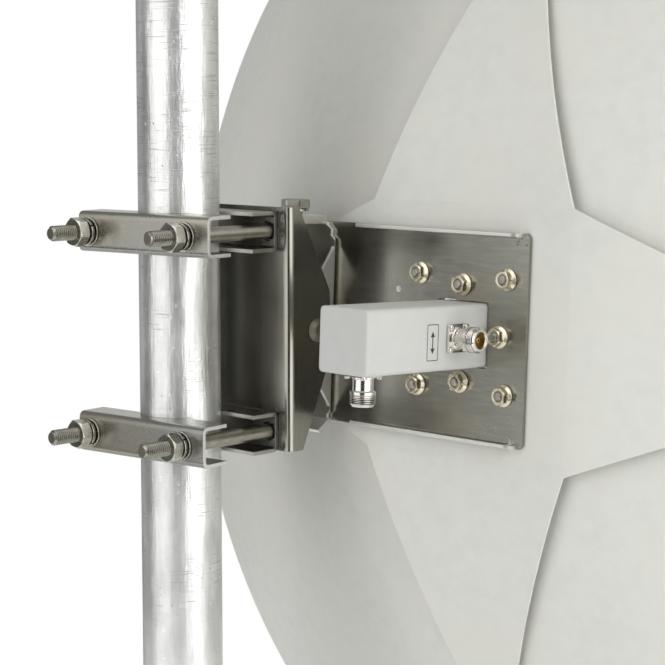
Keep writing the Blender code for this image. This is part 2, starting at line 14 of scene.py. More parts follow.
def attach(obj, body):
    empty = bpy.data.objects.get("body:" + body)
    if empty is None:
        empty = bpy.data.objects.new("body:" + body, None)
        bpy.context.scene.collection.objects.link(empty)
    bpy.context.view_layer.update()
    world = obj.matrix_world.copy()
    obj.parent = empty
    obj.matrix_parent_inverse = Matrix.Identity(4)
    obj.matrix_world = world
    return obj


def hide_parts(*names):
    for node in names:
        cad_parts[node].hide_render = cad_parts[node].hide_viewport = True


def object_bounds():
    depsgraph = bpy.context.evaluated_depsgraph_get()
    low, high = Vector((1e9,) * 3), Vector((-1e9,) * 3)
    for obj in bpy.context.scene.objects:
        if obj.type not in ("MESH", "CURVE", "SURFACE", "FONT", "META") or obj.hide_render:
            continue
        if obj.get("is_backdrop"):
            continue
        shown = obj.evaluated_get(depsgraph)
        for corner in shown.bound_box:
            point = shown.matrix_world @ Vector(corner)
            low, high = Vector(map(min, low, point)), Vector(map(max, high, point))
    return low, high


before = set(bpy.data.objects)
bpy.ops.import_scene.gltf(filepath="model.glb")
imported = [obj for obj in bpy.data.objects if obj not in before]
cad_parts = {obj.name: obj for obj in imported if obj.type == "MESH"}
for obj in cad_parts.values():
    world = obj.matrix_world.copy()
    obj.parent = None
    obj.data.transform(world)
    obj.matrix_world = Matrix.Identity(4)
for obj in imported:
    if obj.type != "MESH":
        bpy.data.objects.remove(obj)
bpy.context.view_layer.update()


# Post
# A galvanised steel tube, 53 mm across, drawn and dipped, with the marks of clamps that slid on it.
# It is welded to a square foot plate with four anchor holes, and a plastic cap closes its top.

class Signal:
    """One output of a node. Arithmetic on it adds Math nodes to the same tree."""

    def __init__(self, tree, socket):
        self.tree = tree
        self.socket = socket

    def math(self, operation, *others):
        inputs = dict(enumerate((self, *others)))
        return self.tree.node("ShaderNodeMath", {"operation": operation}, inputs)

    def output(self, name):
        return Signal(self.tree, self.socket.node.outputs[name])

    def __add__(self, other):
        return self.math("ADD", other)

    def __sub__(self, other):
        return self.math("SUBTRACT", other)

    def __mul__(self, other):
        return self.math("MULTIPLY", other)

    def __truediv__(self, other):
        return self.math("DIVIDE", other)

    def __rsub__(self, other):
        return self * -1 + other

    __radd__ = __add__


class Tree:
    """A shader or geometry tree, with short ways to add nodes and join them."""

    def __init__(self, tree):
        self.tree = tree

    def node(self, kind, settings=None, inputs=None, output=0):
        made = self.tree.nodes.new(kind)
        for name, value in (settings or {}).items():
            setattr(made, name, value)
        for key, value in (inputs or {}).items():
            self.join(value, made.inputs[key])
        return Signal(self, made.outputs[output])

    def join(self, value, socket):
        if isinstance(value, Signal):
            self.tree.links.new(value.socket, socket)
        else:
            socket.default_value = value

    def band(self, signal, low, high, top=1.0):
        """0 where the signal is below low and top where it is above high, smooth between."""
        inputs = {"Value": signal, "From Min": low, "From Max": high, "To Max": top}
        return self.node("ShaderNodeMapRange", {"interpolation_type": "SMOOTHSTEP"}, inputs)


class Finish(Tree):
    """A surface finish: a material whose patterns all read the piece's own coordinates."""

    def __init__(self, name, metallic=0.0, **constants):
        self.material = bpy.data.materials.new(name)
        self.material.use_nodes = True
        super().__init__(self.material.node_tree)
        self.shader = self.tree.nodes["Principled BSDF"]
        self.shader.inputs["Metallic"].default_value = metallic
        for socket, value in constants.items():
            self.shader.inputs[socket.replace("_", " ")].default_value = value
        self.place = self.node("ShaderNodeTexCoord", output="Object")

    def grain(self, stretch, detail, roughness=0.55):
        """Noise from 0 to 1 with this many features to the metre along each axis."""
        scaled = self.node("ShaderNodeMapping", inputs={"Vector": self.place, "Scale": stretch})
        sizes = {"Vector": scaled, "Scale": 1.0, "Detail": detail, "Roughness": roughness}
        return self.node("ShaderNodeTexNoise", inputs=sizes)

    def blend(self, share, first, second):
        """The first colour where share is 0 and the second where it is 1."""

        def full(colour):
            return colour if isinstance(colour, Signal) else (*colour, 1.0)

        inputs = {0: share, 6: full(first), 7: full(second)}
        return self.node("ShaderNodeMix", {"data_type": "RGBA"}, inputs, output=2)

    def surface(self, colour, roughness, height=None, relief=0.0):
        """Feeds the shader; height runs from 0 to 1 and relief is its real depth in metres."""
        self.join(colour, self.shader.inputs["Base Color"])
        self.join(roughness, self.shader.inputs["Roughness"])
        if height is not None:
            depth = {"Height": height, "Distance": relief, "Strength": 1.0}
            self.join(self.node("ShaderNodeBump", inputs=depth), self.shader.inputs["Normal"])
        return self.material


def galvanised_finish(name):
    zinc = Finish(name, metallic=0.86)
    up = zinc.node("ShaderNodeSeparateXYZ", inputs={0: zinc.place}, output="Z")
    drawn = zinc.grain((280, 280, 30), detail=5)
    speck = zinc.grain((700, 700, 260), detail=3)
    lines = zinc.grain((1100, 1100, 9), detail=2)
    cloud = zinc.grain((60, 60, 22), detail=5, roughness=0.6)
    hatch = zinc.grain((40, 40, 1300), detail=3)
    rings = zinc.grain((44, 44, 1200), detail=1)
    where = zinc.grain((50, 50, 24), detail=2)
    handled = where + zinc.band(up, 0.70, 0.76) * 0.17
    scratch = zinc.band(rings, 0.57, 0.70) * zinc.band(handled, 0.52, 0.66)
    # Small specks painted near white stand in for glints: painted highlights, raised a little in the bump
    # too.
    painted_glint_specks = zinc.band(zinc.grain((300, 300, 170), detail=2), 0.67, 0.72)
    pits = zinc.band(zinc.grain((300, 300, 220), detail=2), 0.71, 0.76)
    colour = zinc.blend(zinc.band(cloud, 0.3, 0.7), (0.68, 0.685, 0.67), (0.88, 0.88, 0.865))
    colour = zinc.blend(scratch * 0.5, colour, (0.36, 0.36, 0.34))
    colour = zinc.blend(pits * 0.7, colour, (0.28, 0.28, 0.26))
    colour = zinc.blend(painted_glint_specks * 0.8, colour, (0.95, 0.95, 0.93))
    roughness = 0.22 + cloud * 0.12 + drawn * 0.12 + scratch * 0.1
    height = drawn * 0.6 + lines * 0.1 + cloud * 0.8 + speck * 0.14 + hatch * 0.2
    height = height + painted_glint_specks * 0.12 - scratch * 0.14 - pits * 0.2
    return zinc.surface(colour, roughness, height, relief=0.00055)


def rounded(points, closed=False, steps=4):
    """The outline with its corners eased; a point is (a, b) or (a, b, radius)."""
    made = []
    for index, point in enumerate(points):
        here = Vector(point[:2])
        end = not closed and index in (0, len(points) - 1)
        if len(point) < 3 or end:
            made.append(here)
            continue
        before = (Vector(points[index - 1][:2]) - here).normalized()
        after = (Vector(points[(index + 1) % len(points)][:2]) - here).normalized()
        reach = point[2] / math.tan(before.angle(after) / 2)
        start, stop = here + before * reach, here + after * reach
        for step in range(steps + 1):
            share = step / steps
            made.append(start * (1 - share) ** 2 + here * (2 * share * (1 - share)) + stop * share**2)
    return made


# For each axis, which of (first, second, along) gives X, Y and Z.
axis_order = {"X": (2, 0, 1), "Y": (0, 2, 1), "Z": (0, 1, 2)}


def bridge(work, low, high):
    """A band of faces between two loops of vertices, or a fan where one loop is a single point."""
    sides = max(len(low), len(high))
    for index in range(sides):
        after = (index + 1) % sides
        corners = [(low, index), (low, after), (high, after), (high, index)]
        corners = [loop[place % len(loop)] for loop, place in corners]
        work.faces.new(list(dict.fromkeys(corners)))


def lathe(work, profile, axis="Z", centre=(0, 0, 0), sides=64, closed=False, shape=None, turn=0.0):
    """Turns (along, radius) points about an axis; shape may change a point by its angle."""

    def vertex(angle, along, radius):
        numbers = (radius * math.cos(angle + turn), radius * math.sin(angle + turn), along)
        return work.verts.new([
            middle + numbers[index] for middle, index in zip(centre, axis_order[axis])
        ])

    loops = []
    for along, radius in profile:
        if radius < 1e-6:
            loops.append([vertex(0, along, 0)])
            continue
        loop = []
        for index in range(sides):
            angle = 2 * math.pi * index / sides
            deep, reach = shape(angle, along, radius) if shape else (along, radius)
            loop.append(vertex(angle, deep, reach))
        loops.append(loop)
    pairs = list(zip(loops, loops[1:]))
    if closed:
        pairs.append((loops[-1], loops[0]))
    else:
        for loop in (loops[0], loops[-1]):
            if len(loop) > 1:
                work.faces.new(loop)
    for low, high in pairs:
        bridge(work, low, high)


def prism(work, outline, axis, low, high):
    """Pushes a flat outline along one axis; its two numbers are the other two axes in order."""

    def vertex(point, along):
        numbers = (point[0], point[1], along)
        return work.verts.new([numbers[index] for index in axis_order[axis]])

    first = [vertex(point, low) for point in outline]
    last = [vertex(point, high) for point in outline]
    work.faces.new(first)
    work.faces.new(last)
    bridge(work, first, last)


def body_of_mesh(name, fill):
    """A new object from a bmesh that fill draws, with its faces turned outwards."""
    work = bmesh.new()
    fill(work)
    bmesh.ops.remove_doubles(work, verts=work.verts, dist=1e-6)
    bmesh.ops.recalc_face_normals(work, faces=work.faces)
    mesh = bpy.data.meshes.new(name)
    work.to_mesh(mesh)
    work.free()
    made = bpy.data.objects.new(name, mesh)
    bpy.context.scene.collection.objects.link(made)
    return made


def settle(made):
    """Turns an object and its modifiers into one plain mesh."""
    graph = bpy.context.evaluated_depsgraph_get()
    mesh = bpy.data.meshes.new_from_object(made.evaluated_get(graph), depsgraph=graph)
    made.modifiers.clear()
    made.data = mesh


def machine(name, fill, steps=(), edge=0.0, edge_steps=2):
    """A solid worked by steps of (operation, fill), with its sharp edges then broken by edge."""
    made = body_of_mesh(name, fill)
    tools = []
    for number, (operation, tool_fill) in enumerate(steps):
        tool = body_of_mesh(f"{name}_tool_{number}", tool_fill)
        tools.append(tool)
        cut = made.modifiers.new(tool.name, "BOOLEAN")
        cut.object = tool
        cut.operation = operation
        cut.solver = "EXACT"
    if edge:
        bevel = made.modifiers.new("edge", "BEVEL")
        bevel.width = edge
        bevel.segments = edge_steps
        bevel.limit_method = "ANGLE"
        bevel.angle_limit = math.radians(38)
    settle(made)
    for tool in tools:
        bpy.data.objects.remove(tool)
    return made


def fit(made, material, body, nodes=(), place=None, crease=35):
    """Puts a finished piece in the assembly, standing for the CAD nodes named."""
    if place is not None:
        made.data.transform(place)
    made.data.materials.clear()
    made.data.materials.append(material)
    made.data.polygons.foreach_set("use_smooth", [True] * len(made.data.polygons))
    made.data.set_sharp_from_angle(angle=math.radians(crease))
    normals = made.modifiers.new("flat_faces_stay_flat", "WEIGHTED_NORMAL")
    normals.keep_sharp = True
    normals.weight = 90
    settle(made)
    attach(made, body)
    if nodes:
        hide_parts(*nodes)


def rectangle(left, right, low, high, corner=None):
    corners = [(left, low), (right, low), (right, high), (left, high)]
    if corner is None:
        return corners
    return rounded([(*point, corner) for point in corners], closed=True)


def square(half, corner):
    return rectangle(-half, half, -half, half, corner)


def turned(operation, profile, axis="Z", centre=(0, 0, 0), sides=40):
    """A step for machine: a turned tool that cuts the solid or is joined to it."""
    return operation, lambda work: lathe(work, profile, axis, centre, sides)


gap = 0.0003
post_radius = 0.0263
post_wall = 0.003
post_height = 1.0
foot_side = 0.2
foot_thickness = 0.01
anchor_reach = 0.075
anchor_radius = 0.007

galvanised = galvanised_finish("galvanised_steel")
tube_edge = 0.0005
tube_profile = rounded([
    (foot_thickness + gap, post_radius - post_wall, tube_edge),
    (foot_thickness + gap, post_radius, tube_edge),
    (post_height, post_radius, tube_edge),
    (post_height, post_radius - post_wall, tube_edge),
], closed=True)
post = machine("post_tube", lambda work: lathe(work, tube_profile, sides=128, closed=True))
fit(post, galvanised, "stand", ["pole"])

foot_outline = square(foot_side / 2, corner=0.003)
anchor_hole = [(-0.01, anchor_radius), (0.03, anchor_radius)]
anchor_holes = []
for across in (-anchor_reach, anchor_reach):
    for along in (-anchor_reach, anchor_reach):
        anchor_holes.append(turned("DIFFERENCE", anchor_hole, centre=(across, along, 0), sides=64))
foot = machine("foot", lambda work: prism(work, foot_outline, "Z", 0, foot_thickness),
               anchor_holes, edge=0.0007)
fit(foot, galvanised, "stand", ["foot_plate"])


def new_growth(name, inputs):
    """A Geometry Nodes tree with these named inputs, and its input signals by name."""
    group = bpy.data.node_groups.new(name, "GeometryNodeTree")
    group.interface.new_socket("Geometry", in_out="INPUT", socket_type="NodeSocketGeometry")
    for label, kind in inputs.items():
        group.interface.new_socket(label, in_out="INPUT", socket_type="NodeSocket" + kind)
    group.interface.new_socket("Geometry", in_out="OUTPUT", socket_type="NodeSocketGeometry")
    tree = Tree(group)
    given = tree.node("NodeGroupInput")
    signals = {label: given.output(label) for label in ["Geometry", *inputs]}
    return tree, signals


def end_growth(tree, geometry, material):
    """Every tree ends alike: instances made real, then the material."""
    real = tree.node("GeometryNodeRealizeInstances", inputs={"Geometry": geometry})
    dressed = tree.node("GeometryNodeSetMaterial", inputs={"Geometry": real, "Material": material})
    end = tree.tree.nodes.new("NodeGroupOutput")
    tree.join(dressed, end.inputs["Geometry"])
    return tree.tree


def grow(made, group, **values):
    """Runs a tree on an object with its inputs set by identifier, and leaves a plain mesh."""
    modifier = made.modifiers.new(group.name, "NODES")
    modifier.node_group = group
    for item in group.interface.items_tree:
        if item.in_out == "INPUT" and item.name in values:
            modifier[item.identifier] = values[item.name]
    settle(made)


def weld_tree():
    """Overlapping ripples of weld metal laid round a ring."""
    tree, given = new_growth("weld_bead", {
        "Radius": "Float", "Ripples": "Int", "Height": "Float", "Ripple": "Float", "Material": "Material",
    })
    circle = {"Vertices": given["Ripples"], "Radius": given["Radius"]}
    ring = tree.node("GeometryNodeMeshCircle", inputs=circle)
    drop = tree.node("GeometryNodeMeshUVSphere", inputs={"Segments": 14, "Rings": 8, "Radius": 1.0})
    place = tree.node("GeometryNodeInputPosition")
    out = tree.node("ShaderNodeVectorMath", {"operation": "NORMALIZE"}, {0: place})
    turn = tree.node("FunctionNodeAlignRotationToVector", {"axis": "X"}, {"Vector": out})
    height = given["Height"]
    size = tree.node("ShaderNodeCombineXYZ", inputs={0: height, 1: given["Ripple"], 2: height})
    uneven = {2: 0.85, 3: 1.1, "Seed": 5}
    jitter = tree.node("FunctionNodeRandomValue", {"data_type": "FLOAT"}, uneven, output=1)
    size = tree.node("ShaderNodeVectorMath", {"operation": "SCALE"}, {0: size, "Scale": jitter})
    laid = tree.node("GeometryNodeInstanceOnPoints", inputs={
        "Points": ring, "Instance": drop, "Rotation": turn, "Scale": size,
    })
    return end_growth(tree, laid, given["Material"])


weld = body_of_mesh("foot_weld", lambda work: work.verts.new((0, 0, 0)))
grow(weld, weld_tree(), Radius=post_radius + 0.0008, Ripples=110, Height=0.0042, Ripple=0.0022,
     Material=galvanised)
weld_place = Matrix.Translation((0, 0, foot_thickness + 0.0005))
fit(weld, galvanised, "stand", place=weld_place, crease=180)


def plastic_finish(name, colour, roughness):
    """Moulded plastic with a fine spark-eroded grain."""
    plastic = Finish(name)
    grain = plastic.grain((1400, 1400, 1400), detail=2)
    cloud = plastic.grain((30, 30, 30), detail=3)
    deep = tuple(0.86 * part for part in colour)
    shade = plastic.blend(cloud, colour, deep)
    return plastic.surface(shade, roughness + cloud * 0.12, grain, relief=0.00004)


cap_profile = rounded([
    (post_height - 0.0117, 0), (post_height - 0.0117, 0.023, 0.001), (post_height + gap, 0.0226),
    (post_height + gap, post_radius, 0.0004), (post_height + 0.0032, post_radius, 0.0012),
    (post_height + 0.0053, 0.0205, 0.004), (post_height + 0.0053, 0),
])
cap = machine("post_cap", lambda work: lathe(work, cap_profile, sides=96))
fit(cap, plastic_finish("black_plastic", (0.03, 0.03, 0.032), 0.45), "stand", ["pole_cap"])


# Clamps
# Two pairs of channels pressed from stainless sheet grip the post, their flanges cut to its curve.
# The inner ones stand on the bracket; the outer ones sit a few degrees askew, as they were tightened.

def brushed_finish(name, stretch, colour, roughness):
    """Stainless sheet brushed along the axis with the fewest features to the metre in stretch.

    Faces marked with the attribute read below are cut edges, paler and duller than the sheet; the same mark
    also paints highlights, a pale colour in place of light that edges and faces catch.
    """
    steel = Finish(name, metallic=1.0)
    lines = steel.grain(stretch, detail=5, roughness=0.65)
    cloud = steel.grain((38, 38, 38), detail=3)
    stain = steel.grain((11, 11, 15), detail=2)
    dark = tuple(0.87 * part for part in colour)
    warm = (colour[0] * 1.04, colour[1] * 0.98, colour[2] * 0.86)
    shade = steel.blend(steel.band(lines, 0.32, 0.7), dark, colour)
    shade = steel.blend(steel.band(stain, 0.45, 0.65) * 0.6, shade, warm)
    gloss = roughness + cloud * 0.12 + lines * 0.08 - 0.08
    cut_edge_and_highlight = steel.node("ShaderNodeAttribute", {"attribute_name": "cut_edge_and_highlight"}, output="Fac")
    # Painted highlight: marked faces blend to a near-white colour.
    shade = steel.blend(cut_edge_and_highlight, shade, (0.95, 0.94, 0.90))
    return steel.surface(shade, gloss + cut_edge_and_highlight * 0.28, lines * 0.8 + cloud * 0.4, relief=0.00002)


axis_height = 0.65
upper_clamp = axis_height + 0.0602
lower_clamp = axis_height - 0.0709
clamp_half = 0.0131
clamp_depth = 0.0222
sheet = 0.0025
clamp_bend = 0.0046
bolt_reach = 0.0399
clamp_hole = 0.0065
bracket_back = -0.0435
outer_slip = -0.00045

brushed_long = brushed_finish("brushed_sheet_lengthwise", (14, 900, 900), (0.36, 0.356, 0.325), 0.26)


def mark_edges_and_highlights(made, cut):
    """Stores for each face, from 0 to 1, how far cut(centre, normal) pales it, for cut edges and for painted
    highlights.
    """
    cut_edge_and_highlight = made.data.attributes.new("cut_edge_and_highlight", "FLOAT", "FACE")
    for face, mark in zip(made.data.polygons, cut_edge_and_highlight.data):
        mark.value = cut(face.center, face.normal)


def folded(left, right, opening, back, bend, steps):
    """Section (across, deep) of a U of sheet: its web lies at back, its flanges reach to opening."""
    web = back + math.copysign(sheet, opening - back)
    inner = bend - sheet
    return rounded([
        (left, opening), (left, back, bend), (right, back, bend), (right, opening),
        (right - sheet, opening), (right - sheet, web, inner),
        (left + sheet, web, inner), (left + sheet, opening),
    ], closed=True, steps=steps)


def press_channel(name, back, towards, length, slip, skew):
    """A U of sheet lying along X at height 0, with the seat for the post and two bolt holes."""
    section = folded(-clamp_half, clamp_half, back + towards * clamp_depth, back, clamp_bend, steps=6)
    section = [point.yx for point in section]
    turn = Matrix.Rotation(math.radians(skew), 3, "Z")

    def fill(work):
        prism(work, section, "X", slip - length / 2, slip + length / 2)
        bmesh.ops.rotate(work, verts=work.verts, cent=(0, 0, 0), matrix=turn)

    seat = [(-0.03, post_radius + gap), (0.03, post_radius + gap)]
    steps = [turned("DIFFERENCE", seat, sides=96)]
    hole = [(-0.02, clamp_hole), (0.02, clamp_hole)]
    for side in (-bolt_reach, bolt_reach):
        steps.append(turned("DIFFERENCE", hole, "Y", (side, back, 0)))
    return machine(name, fill, steps, edge=0.0004)


channels = [
    ("upper_inner_clamp", upper_clamp, bracket_back + gap, 1, 0.0936, 0, 0),
    ("lower_inner_clamp", lower_clamp, bracket_back + gap, 1, 0.0936, 0, 0),
    ("upper_outer_clamp", upper_clamp, 0.0365, -1, 0.109, outer_slip, 8),
    ("lower_outer_clamp", lower_clamp, 0.039, -1, 0.109, outer_slip, 6),
]
for node, height, back, towards, length, slip, skew in channels:
    channel = press_channel(node.replace("clamp", "channel"), back, towards, length, slip, skew)
    along = Vector((math.cos(math.radians(skew)), math.sin(math.radians(skew)), 0))
    out = Vector((-along.y, along.x, 0)) * towards
    tip = out.dot((0, back, 0)) + clamp_depth
    # The outer channels' ends are paled far more than the inner ones': a cut-edge finish with a painted
    # highlight on it.
    end_edge_and_highlight = 0.7 if skew else 0.12

    def sawn_and_highlit(centre, normal):
        """The two ends, and the tips of the flanges a little: cut edges, paled also as a painted highlight.
        """
        at_end = abs(abs(centre.dot(along) - slip) - length / 2) < 0.002
        at_tip = abs(centre.dot(out) - tip) < 0.002
        end = end_edge_and_highlight * (at_end and abs(normal.dot(along)) > 0.9)
        return max(end, 0.3 * (at_tip and normal.dot(out) > 0.9))

    mark_edges_and_highlights(channel, sawn_and_highlit)
    fit(channel, brushed_long, "mount", [node], Matrix.Translation((0, 0, height)))


# Clamp bolts and nuts
# Four M10 carriage bolts of plain stainless steel, their heads inside the bracket and their ends
# threaded. Each has a flat washer, a spring washer and a chamfered nut outside the outer channel.

def bright_finish(name, colour, roughness, wear=0.12):
    """Turned or rolled metal with faint lathe marks and handling wear, and painted shade in its thread
    grooves.
    """
    metal = Finish(name, metallic=1.0)
    cloud = metal.grain((160, 160, 160), detail=4)
    fine = metal.grain((1500, 1500, 1500), detail=2)
    dull = tuple(0.72 * part for part in colour)
    shade = metal.blend(metal.band(cloud, 0.4, 0.72) * 0.7, colour, dull)
    # Painted shade: the thread's grooves are darkened almost to black, standing in for the shade inside
    # them.
    groove = metal.node("ShaderNodeAttribute", {"attribute_name": "groove"}, output="Fac")
    shade = metal.blend(groove * 0.85, shade, (0.05, 0.045, 0.035))
    return metal.surface(shade, roughness + cloud * wear, fine * 0.4 + cloud, relief=0.00005)


def thread_tree():
    """Sinks a helical V groove into the outside of a turned piece whose axis is parallel to Y."""
    tree, given = new_growth("cut_thread", {
        "At": "Vector", "Start": "Float", "End": "Float", "Pitch": "Float", "Depth": "Float",
        "Radius": "Float", "Core": "Float", "Material": "Material",
    })
    place = tree.node("GeometryNodeInputPosition")
    local = tree.node("ShaderNodeVectorMath", {"operation": "SUBTRACT"}, {0: place, 1: given["At"]})
    split = tree.node("ShaderNodeSeparateXYZ", inputs={0: local})
    across, along, up = split, split.output("Y"), split.output("Z")
    reach = (across * across + up * up).math("SQRT")
    turn = up.math("ARCTAN2", across) / (2 * math.pi)
    phase = ((along - given["Start"]) / given["Pitch"] - turn).math("FRACT")
    flank = (phase * 2 - 1).math("ABSOLUTE")
    groove = ((flank - 0.14) * 1.35).math("MAXIMUM", 0.0).math("MINIMUM", 1.0)
    run_out = ((along - given["Start"]) / (given["Pitch"] * 2)).math("MINIMUM", 1.0)
    floor_of_groove = given["Radius"] - given["Depth"] * groove * run_out
    held = along.math("GREATER_THAN", given["Start"]) * along.math("LESS_THAN", given["End"])
    held = held * reach.math("GREATER_THAN", given["Core"])
    share = floor_of_groove.math("MINIMUM", reach) / reach.math("MAXIMUM", 0.00001)
    share = held * (share - 1) + 1
    moved = tree.node("ShaderNodeCombineXYZ", inputs={0: across * share, 1: along, 2: up * share})
    moved = tree.node("ShaderNodeVectorMath", {"operation": "ADD"}, {0: moved, 1: given["At"]})
    cut = tree.node("GeometryNodeSetPosition", inputs={"Geometry": given["Geometry"], "Position": moved})
    # The groove's depth is stored so that the finish paints shade into the grooves.
    marked = tree.node("GeometryNodeStoreNamedAttribute", {"data_type": "FLOAT", "domain": "POINT"}, {
        "Geometry": cut, "Name": "groove", "Value": groove * held,
    })
    return end_growth(tree, marked, given["Material"])


cut_thread = thread_tree()


def thread_rings(start, stop, radius, pitch):
    """Profile points close enough together to carry a thread."""
    count = max(int((stop - start) / pitch * 8), 1)
    return [(start + (stop - start) * step / count, radius) for step in range(count + 1)]


def hexagon_limit(across, height, foot, chamfered=(True, True)):
    """Cuts a turned nut or head to six sides, its corners sloped off by a 30 degree chamfer."""
    circle = across / 2 * 0.97
    slope = math.tan(math.radians(30))

    def shape(angle, along, radius):
        wedge = angle % (math.pi / 3) - math.pi / 6
        flat = min(across / 2 / math.cos(wedge), across / 2 * 1.14)
        if radius <= flat or along < foot - 1e-9:
            return along, radius
        drop = max(flat - circle, 0) * slope
        if chamfered[0] and along < foot + height / 2:
            along = foot + drop
        if chamfered[1] and along > foot + height / 2:
            along = foot + height - drop
        return along, flat

    return shape


def nut_profile(across, height, bore, foot):
    """Profile of a nut standing on foot; radii beyond the flats are brought in by hexagon_limit."""
    circle = across / 2 * 0.97
    corner = across / 2 * 1.16
    relief = 0.0005
    return [
        (foot + relief, bore), (foot, bore + relief), (foot, circle), (foot + 0.0001, corner),
        (foot + height / 3, corner), (foot + 2 * height / 3, corner), (foot + height - 0.0001, corner),
        (foot + height, circle), (foot + height, bore + relief), (foot + height - relief * 1.6, bore),
    ]


stainless = bright_finish("plain_stainless", (0.44, 0.42, 0.36), 0.26)
nut_metal = bright_finish("nut_stainless", (0.54, 0.525, 0.46), 0.2)
bolt_radius = 0.005
thread_pitch = 0.0015
thread_depth = 0.0009
thread_core = 0.0037
bolt_seat = bracket_back - sheet - gap
plain_end = 0.024


def bolt_blank(work, at, tip):
    """Domed head, plain shank and pointed end of a carriage bolt along +Y, before its thread is rolled."""
    profile = rounded([
        (bolt_seat - 0.0046, 0), (bolt_seat - 0.0044, 0.0046, 0.003), (bolt_seat - 0.002, 0.0088, 0.003),
        (bolt_seat, 0.0098, 0.0003), (bolt_seat, bolt_radius, 0.0004), (plain_end, bolt_radius),
    ])
    profile += thread_rings(plain_end, tip - 0.0012, bolt_radius, thread_pitch)
    profile += rounded([(tip - 0.0012, bolt_radius), (tip, 0.0036, 0.0004), (tip, 0)])
    lathe(work, profile, "Y", at, sides=48)


def split_ring(work, at, seat, inside, outside, thickness, spin):
    """A spring washer: a flat ring with one cut, its two ends a little apart."""
    steps = 60
    cut_angle = 0.12
    sections = []
    for step in range(steps + 1):
        share = step / steps
        angle = spin + cut_angle / 2 + (2 * math.pi - cut_angle) * share
        lift = 0.00035 * (share - 0.5)
        section = []
        for reach, deep in rectangle(inside, outside, 0, thickness, corner=0.0003):
            point = (at[0] + reach * math.cos(angle), seat + deep + lift, at[2] + reach * math.sin(angle))
            section.append(work.verts.new(point))
        sections.append(section)
    work.faces.new(sections[0])
    work.faces.new(sections[-1])
    for low, high in zip(sections, sections[1:]):
        bridge(work, low, high)


def washer(work, at, seat, inside, outside, thickness):
    profile = rectangle(seat, seat + thickness, inside, outside, corner=0.0003)
    lathe(work, profile, "Y", at, sides=64, closed=True)


bolt_sets = [
    ("upper_near", -1, upper_clamp, 0.0365, 8, 0.0605, 15),
    ("upper_far", 1, upper_clamp, 0.0365, 8, 0.0732, 13),
    ("lower_near", -1, lower_clamp, 0.039, 6, 0.0670, 38),
    ("lower_far", 1, lower_clamp, 0.039, 6, 0.0750, 8),
]
washer_radius = 0.0095
washer_thickness = 0.0016
spring_radius = 0.0087
spring_thickness = 0.0019
nut_height = 0.0072
nut_across = 0.017
nut_bore = bolt_radius - 0.0002
for word, side, height, back, skew, tip, spin in bolt_sets:
    at = (side * bolt_reach, 0, height)
    bolt = body_of_mesh(word + "_carriage_bolt", lambda work: bolt_blank(work, at, tip))
    grow(bolt, cut_thread, At=at, Start=plain_end, End=tip - 0.0001, Pitch=thread_pitch,
         Depth=thread_depth, Radius=bolt_radius, Core=thread_core, Material=stainless)
    fit(bolt, stainless, "mount", [word + "_clamp_bolt"], crease=60)

    # The nut stays square to its bolt, so it starts at the washer's highest edge.
    turn = math.radians(skew)
    seat = back / math.cos(turn) + (at[0] + washer_radius) * math.tan(turn) + gap
    nut_foot = washer_thickness + spring_thickness + 0.0005
    limit = hexagon_limit(nut_across, nut_height, seat + nut_foot)

    def fill_nut(work):
        """The flat washer lies on the askew channel, the spring washer leans half as much."""
        under = back / math.cos(turn) + at[0] * math.tan(turn)
        half_lean = {"cent": (at[0], under, at[2]), "matrix": Matrix.Rotation(turn / 2, 3, "Z")}
        washer(work, at, under + gap, bolt_radius + 0.0004, washer_radius, washer_thickness)
        bmesh.ops.rotate(work, verts=work.verts, **half_lean)
        split_ring(work, at, under + washer_thickness + 0.0011, bolt_radius + 0.0003, spring_radius,
                   spring_thickness, 2.2 + spin)
        bmesh.ops.rotate(work, verts=work.verts, **half_lean)
        profile = nut_profile(nut_across, nut_height, nut_bore, seat + nut_foot)
        lathe(work, profile, "Y", at, sides=120, closed=True, shape=limit, turn=math.radians(spin))

    nut = body_of_mesh(word + "_nut_and_washers", fill_nut)
    fit(nut, nut_metal, "mount", [word + "_clamp_nut"], crease=28)


# Bracket
# One U of stainless sheet: its web is bolted to the inner channels, and its cheeks taper to the pivot.
# Two domed pivot bolts pass outwards through the cheeks, each with a nut inside the fork.

bracket_half = 0.0568
bracket_bend = 0.0055
bracket_top = axis_height + 0.0758
bracket_bottom = axis_height - 0.0834
pivot_y = -0.0688
pivot_z = axis_height - 0.0052

brushed_tall = brushed_finish("brushed_sheet_upright", (900, 900, 16), (0.36, 0.352, 0.31), 0.2)
bracket_front = pivot_y - 0.0138
bracket_section = folded(-bracket_half, bracket_half, bracket_front, bracket_back, bracket_bend, steps=8)
cheek_outline = rounded([
    (bracket_back + 0.01, bracket_bottom - 0.01), (bracket_back + 0.01, bracket_top + 0.01),
    (bracket_back - 0.0103, bracket_top + 0.01), (bracket_back - 0.0103, bracket_top - 0.001),
    (pivot_y - 0.0122, pivot_z + 0.0254, 0.006), (pivot_y - 0.0138, pivot_z, 0.02),
    (pivot_y - 0.0095, pivot_z - 0.0269, 0.006), (bracket_back - 0.0085, bracket_bottom - 0.01),
], closed=True, steps=6)


def pressed(operation, outline, axis, low, high):
    """A step for machine: a straight-sided tool that cuts the solid or is joined to it."""
    return operation, lambda work: prism(work, outline, axis, low, high)


hole_radius = 0.0055
bracket_steps = [pressed("INTERSECT", cheek_outline, "X", -0.1, 0.1)]
bolt_hole = [(-0.02, hole_radius), (0.02, hole_radius)]
for height in (upper_clamp, lower_clamp):
    for side in (-bolt_reach, bolt_reach):
        bracket_steps.append(turned("DIFFERENCE", bolt_hole, "Y", (side, bracket_back, height)))
pivot_hole = [(-0.1, hole_radius), (0.1, hole_radius)]
pivot_at = (0, pivot_y, pivot_z)
bracket_steps.append(turned("DIFFERENCE", pivot_hole, "X", pivot_at))
bracket = machine("bracket", lambda work: prism(work, bracket_section, "Z", bracket_bottom, bracket_top),
                  bracket_steps, edge=0.0004)
fit(bracket, brushed_tall, "mount", ["pole_bracket"])
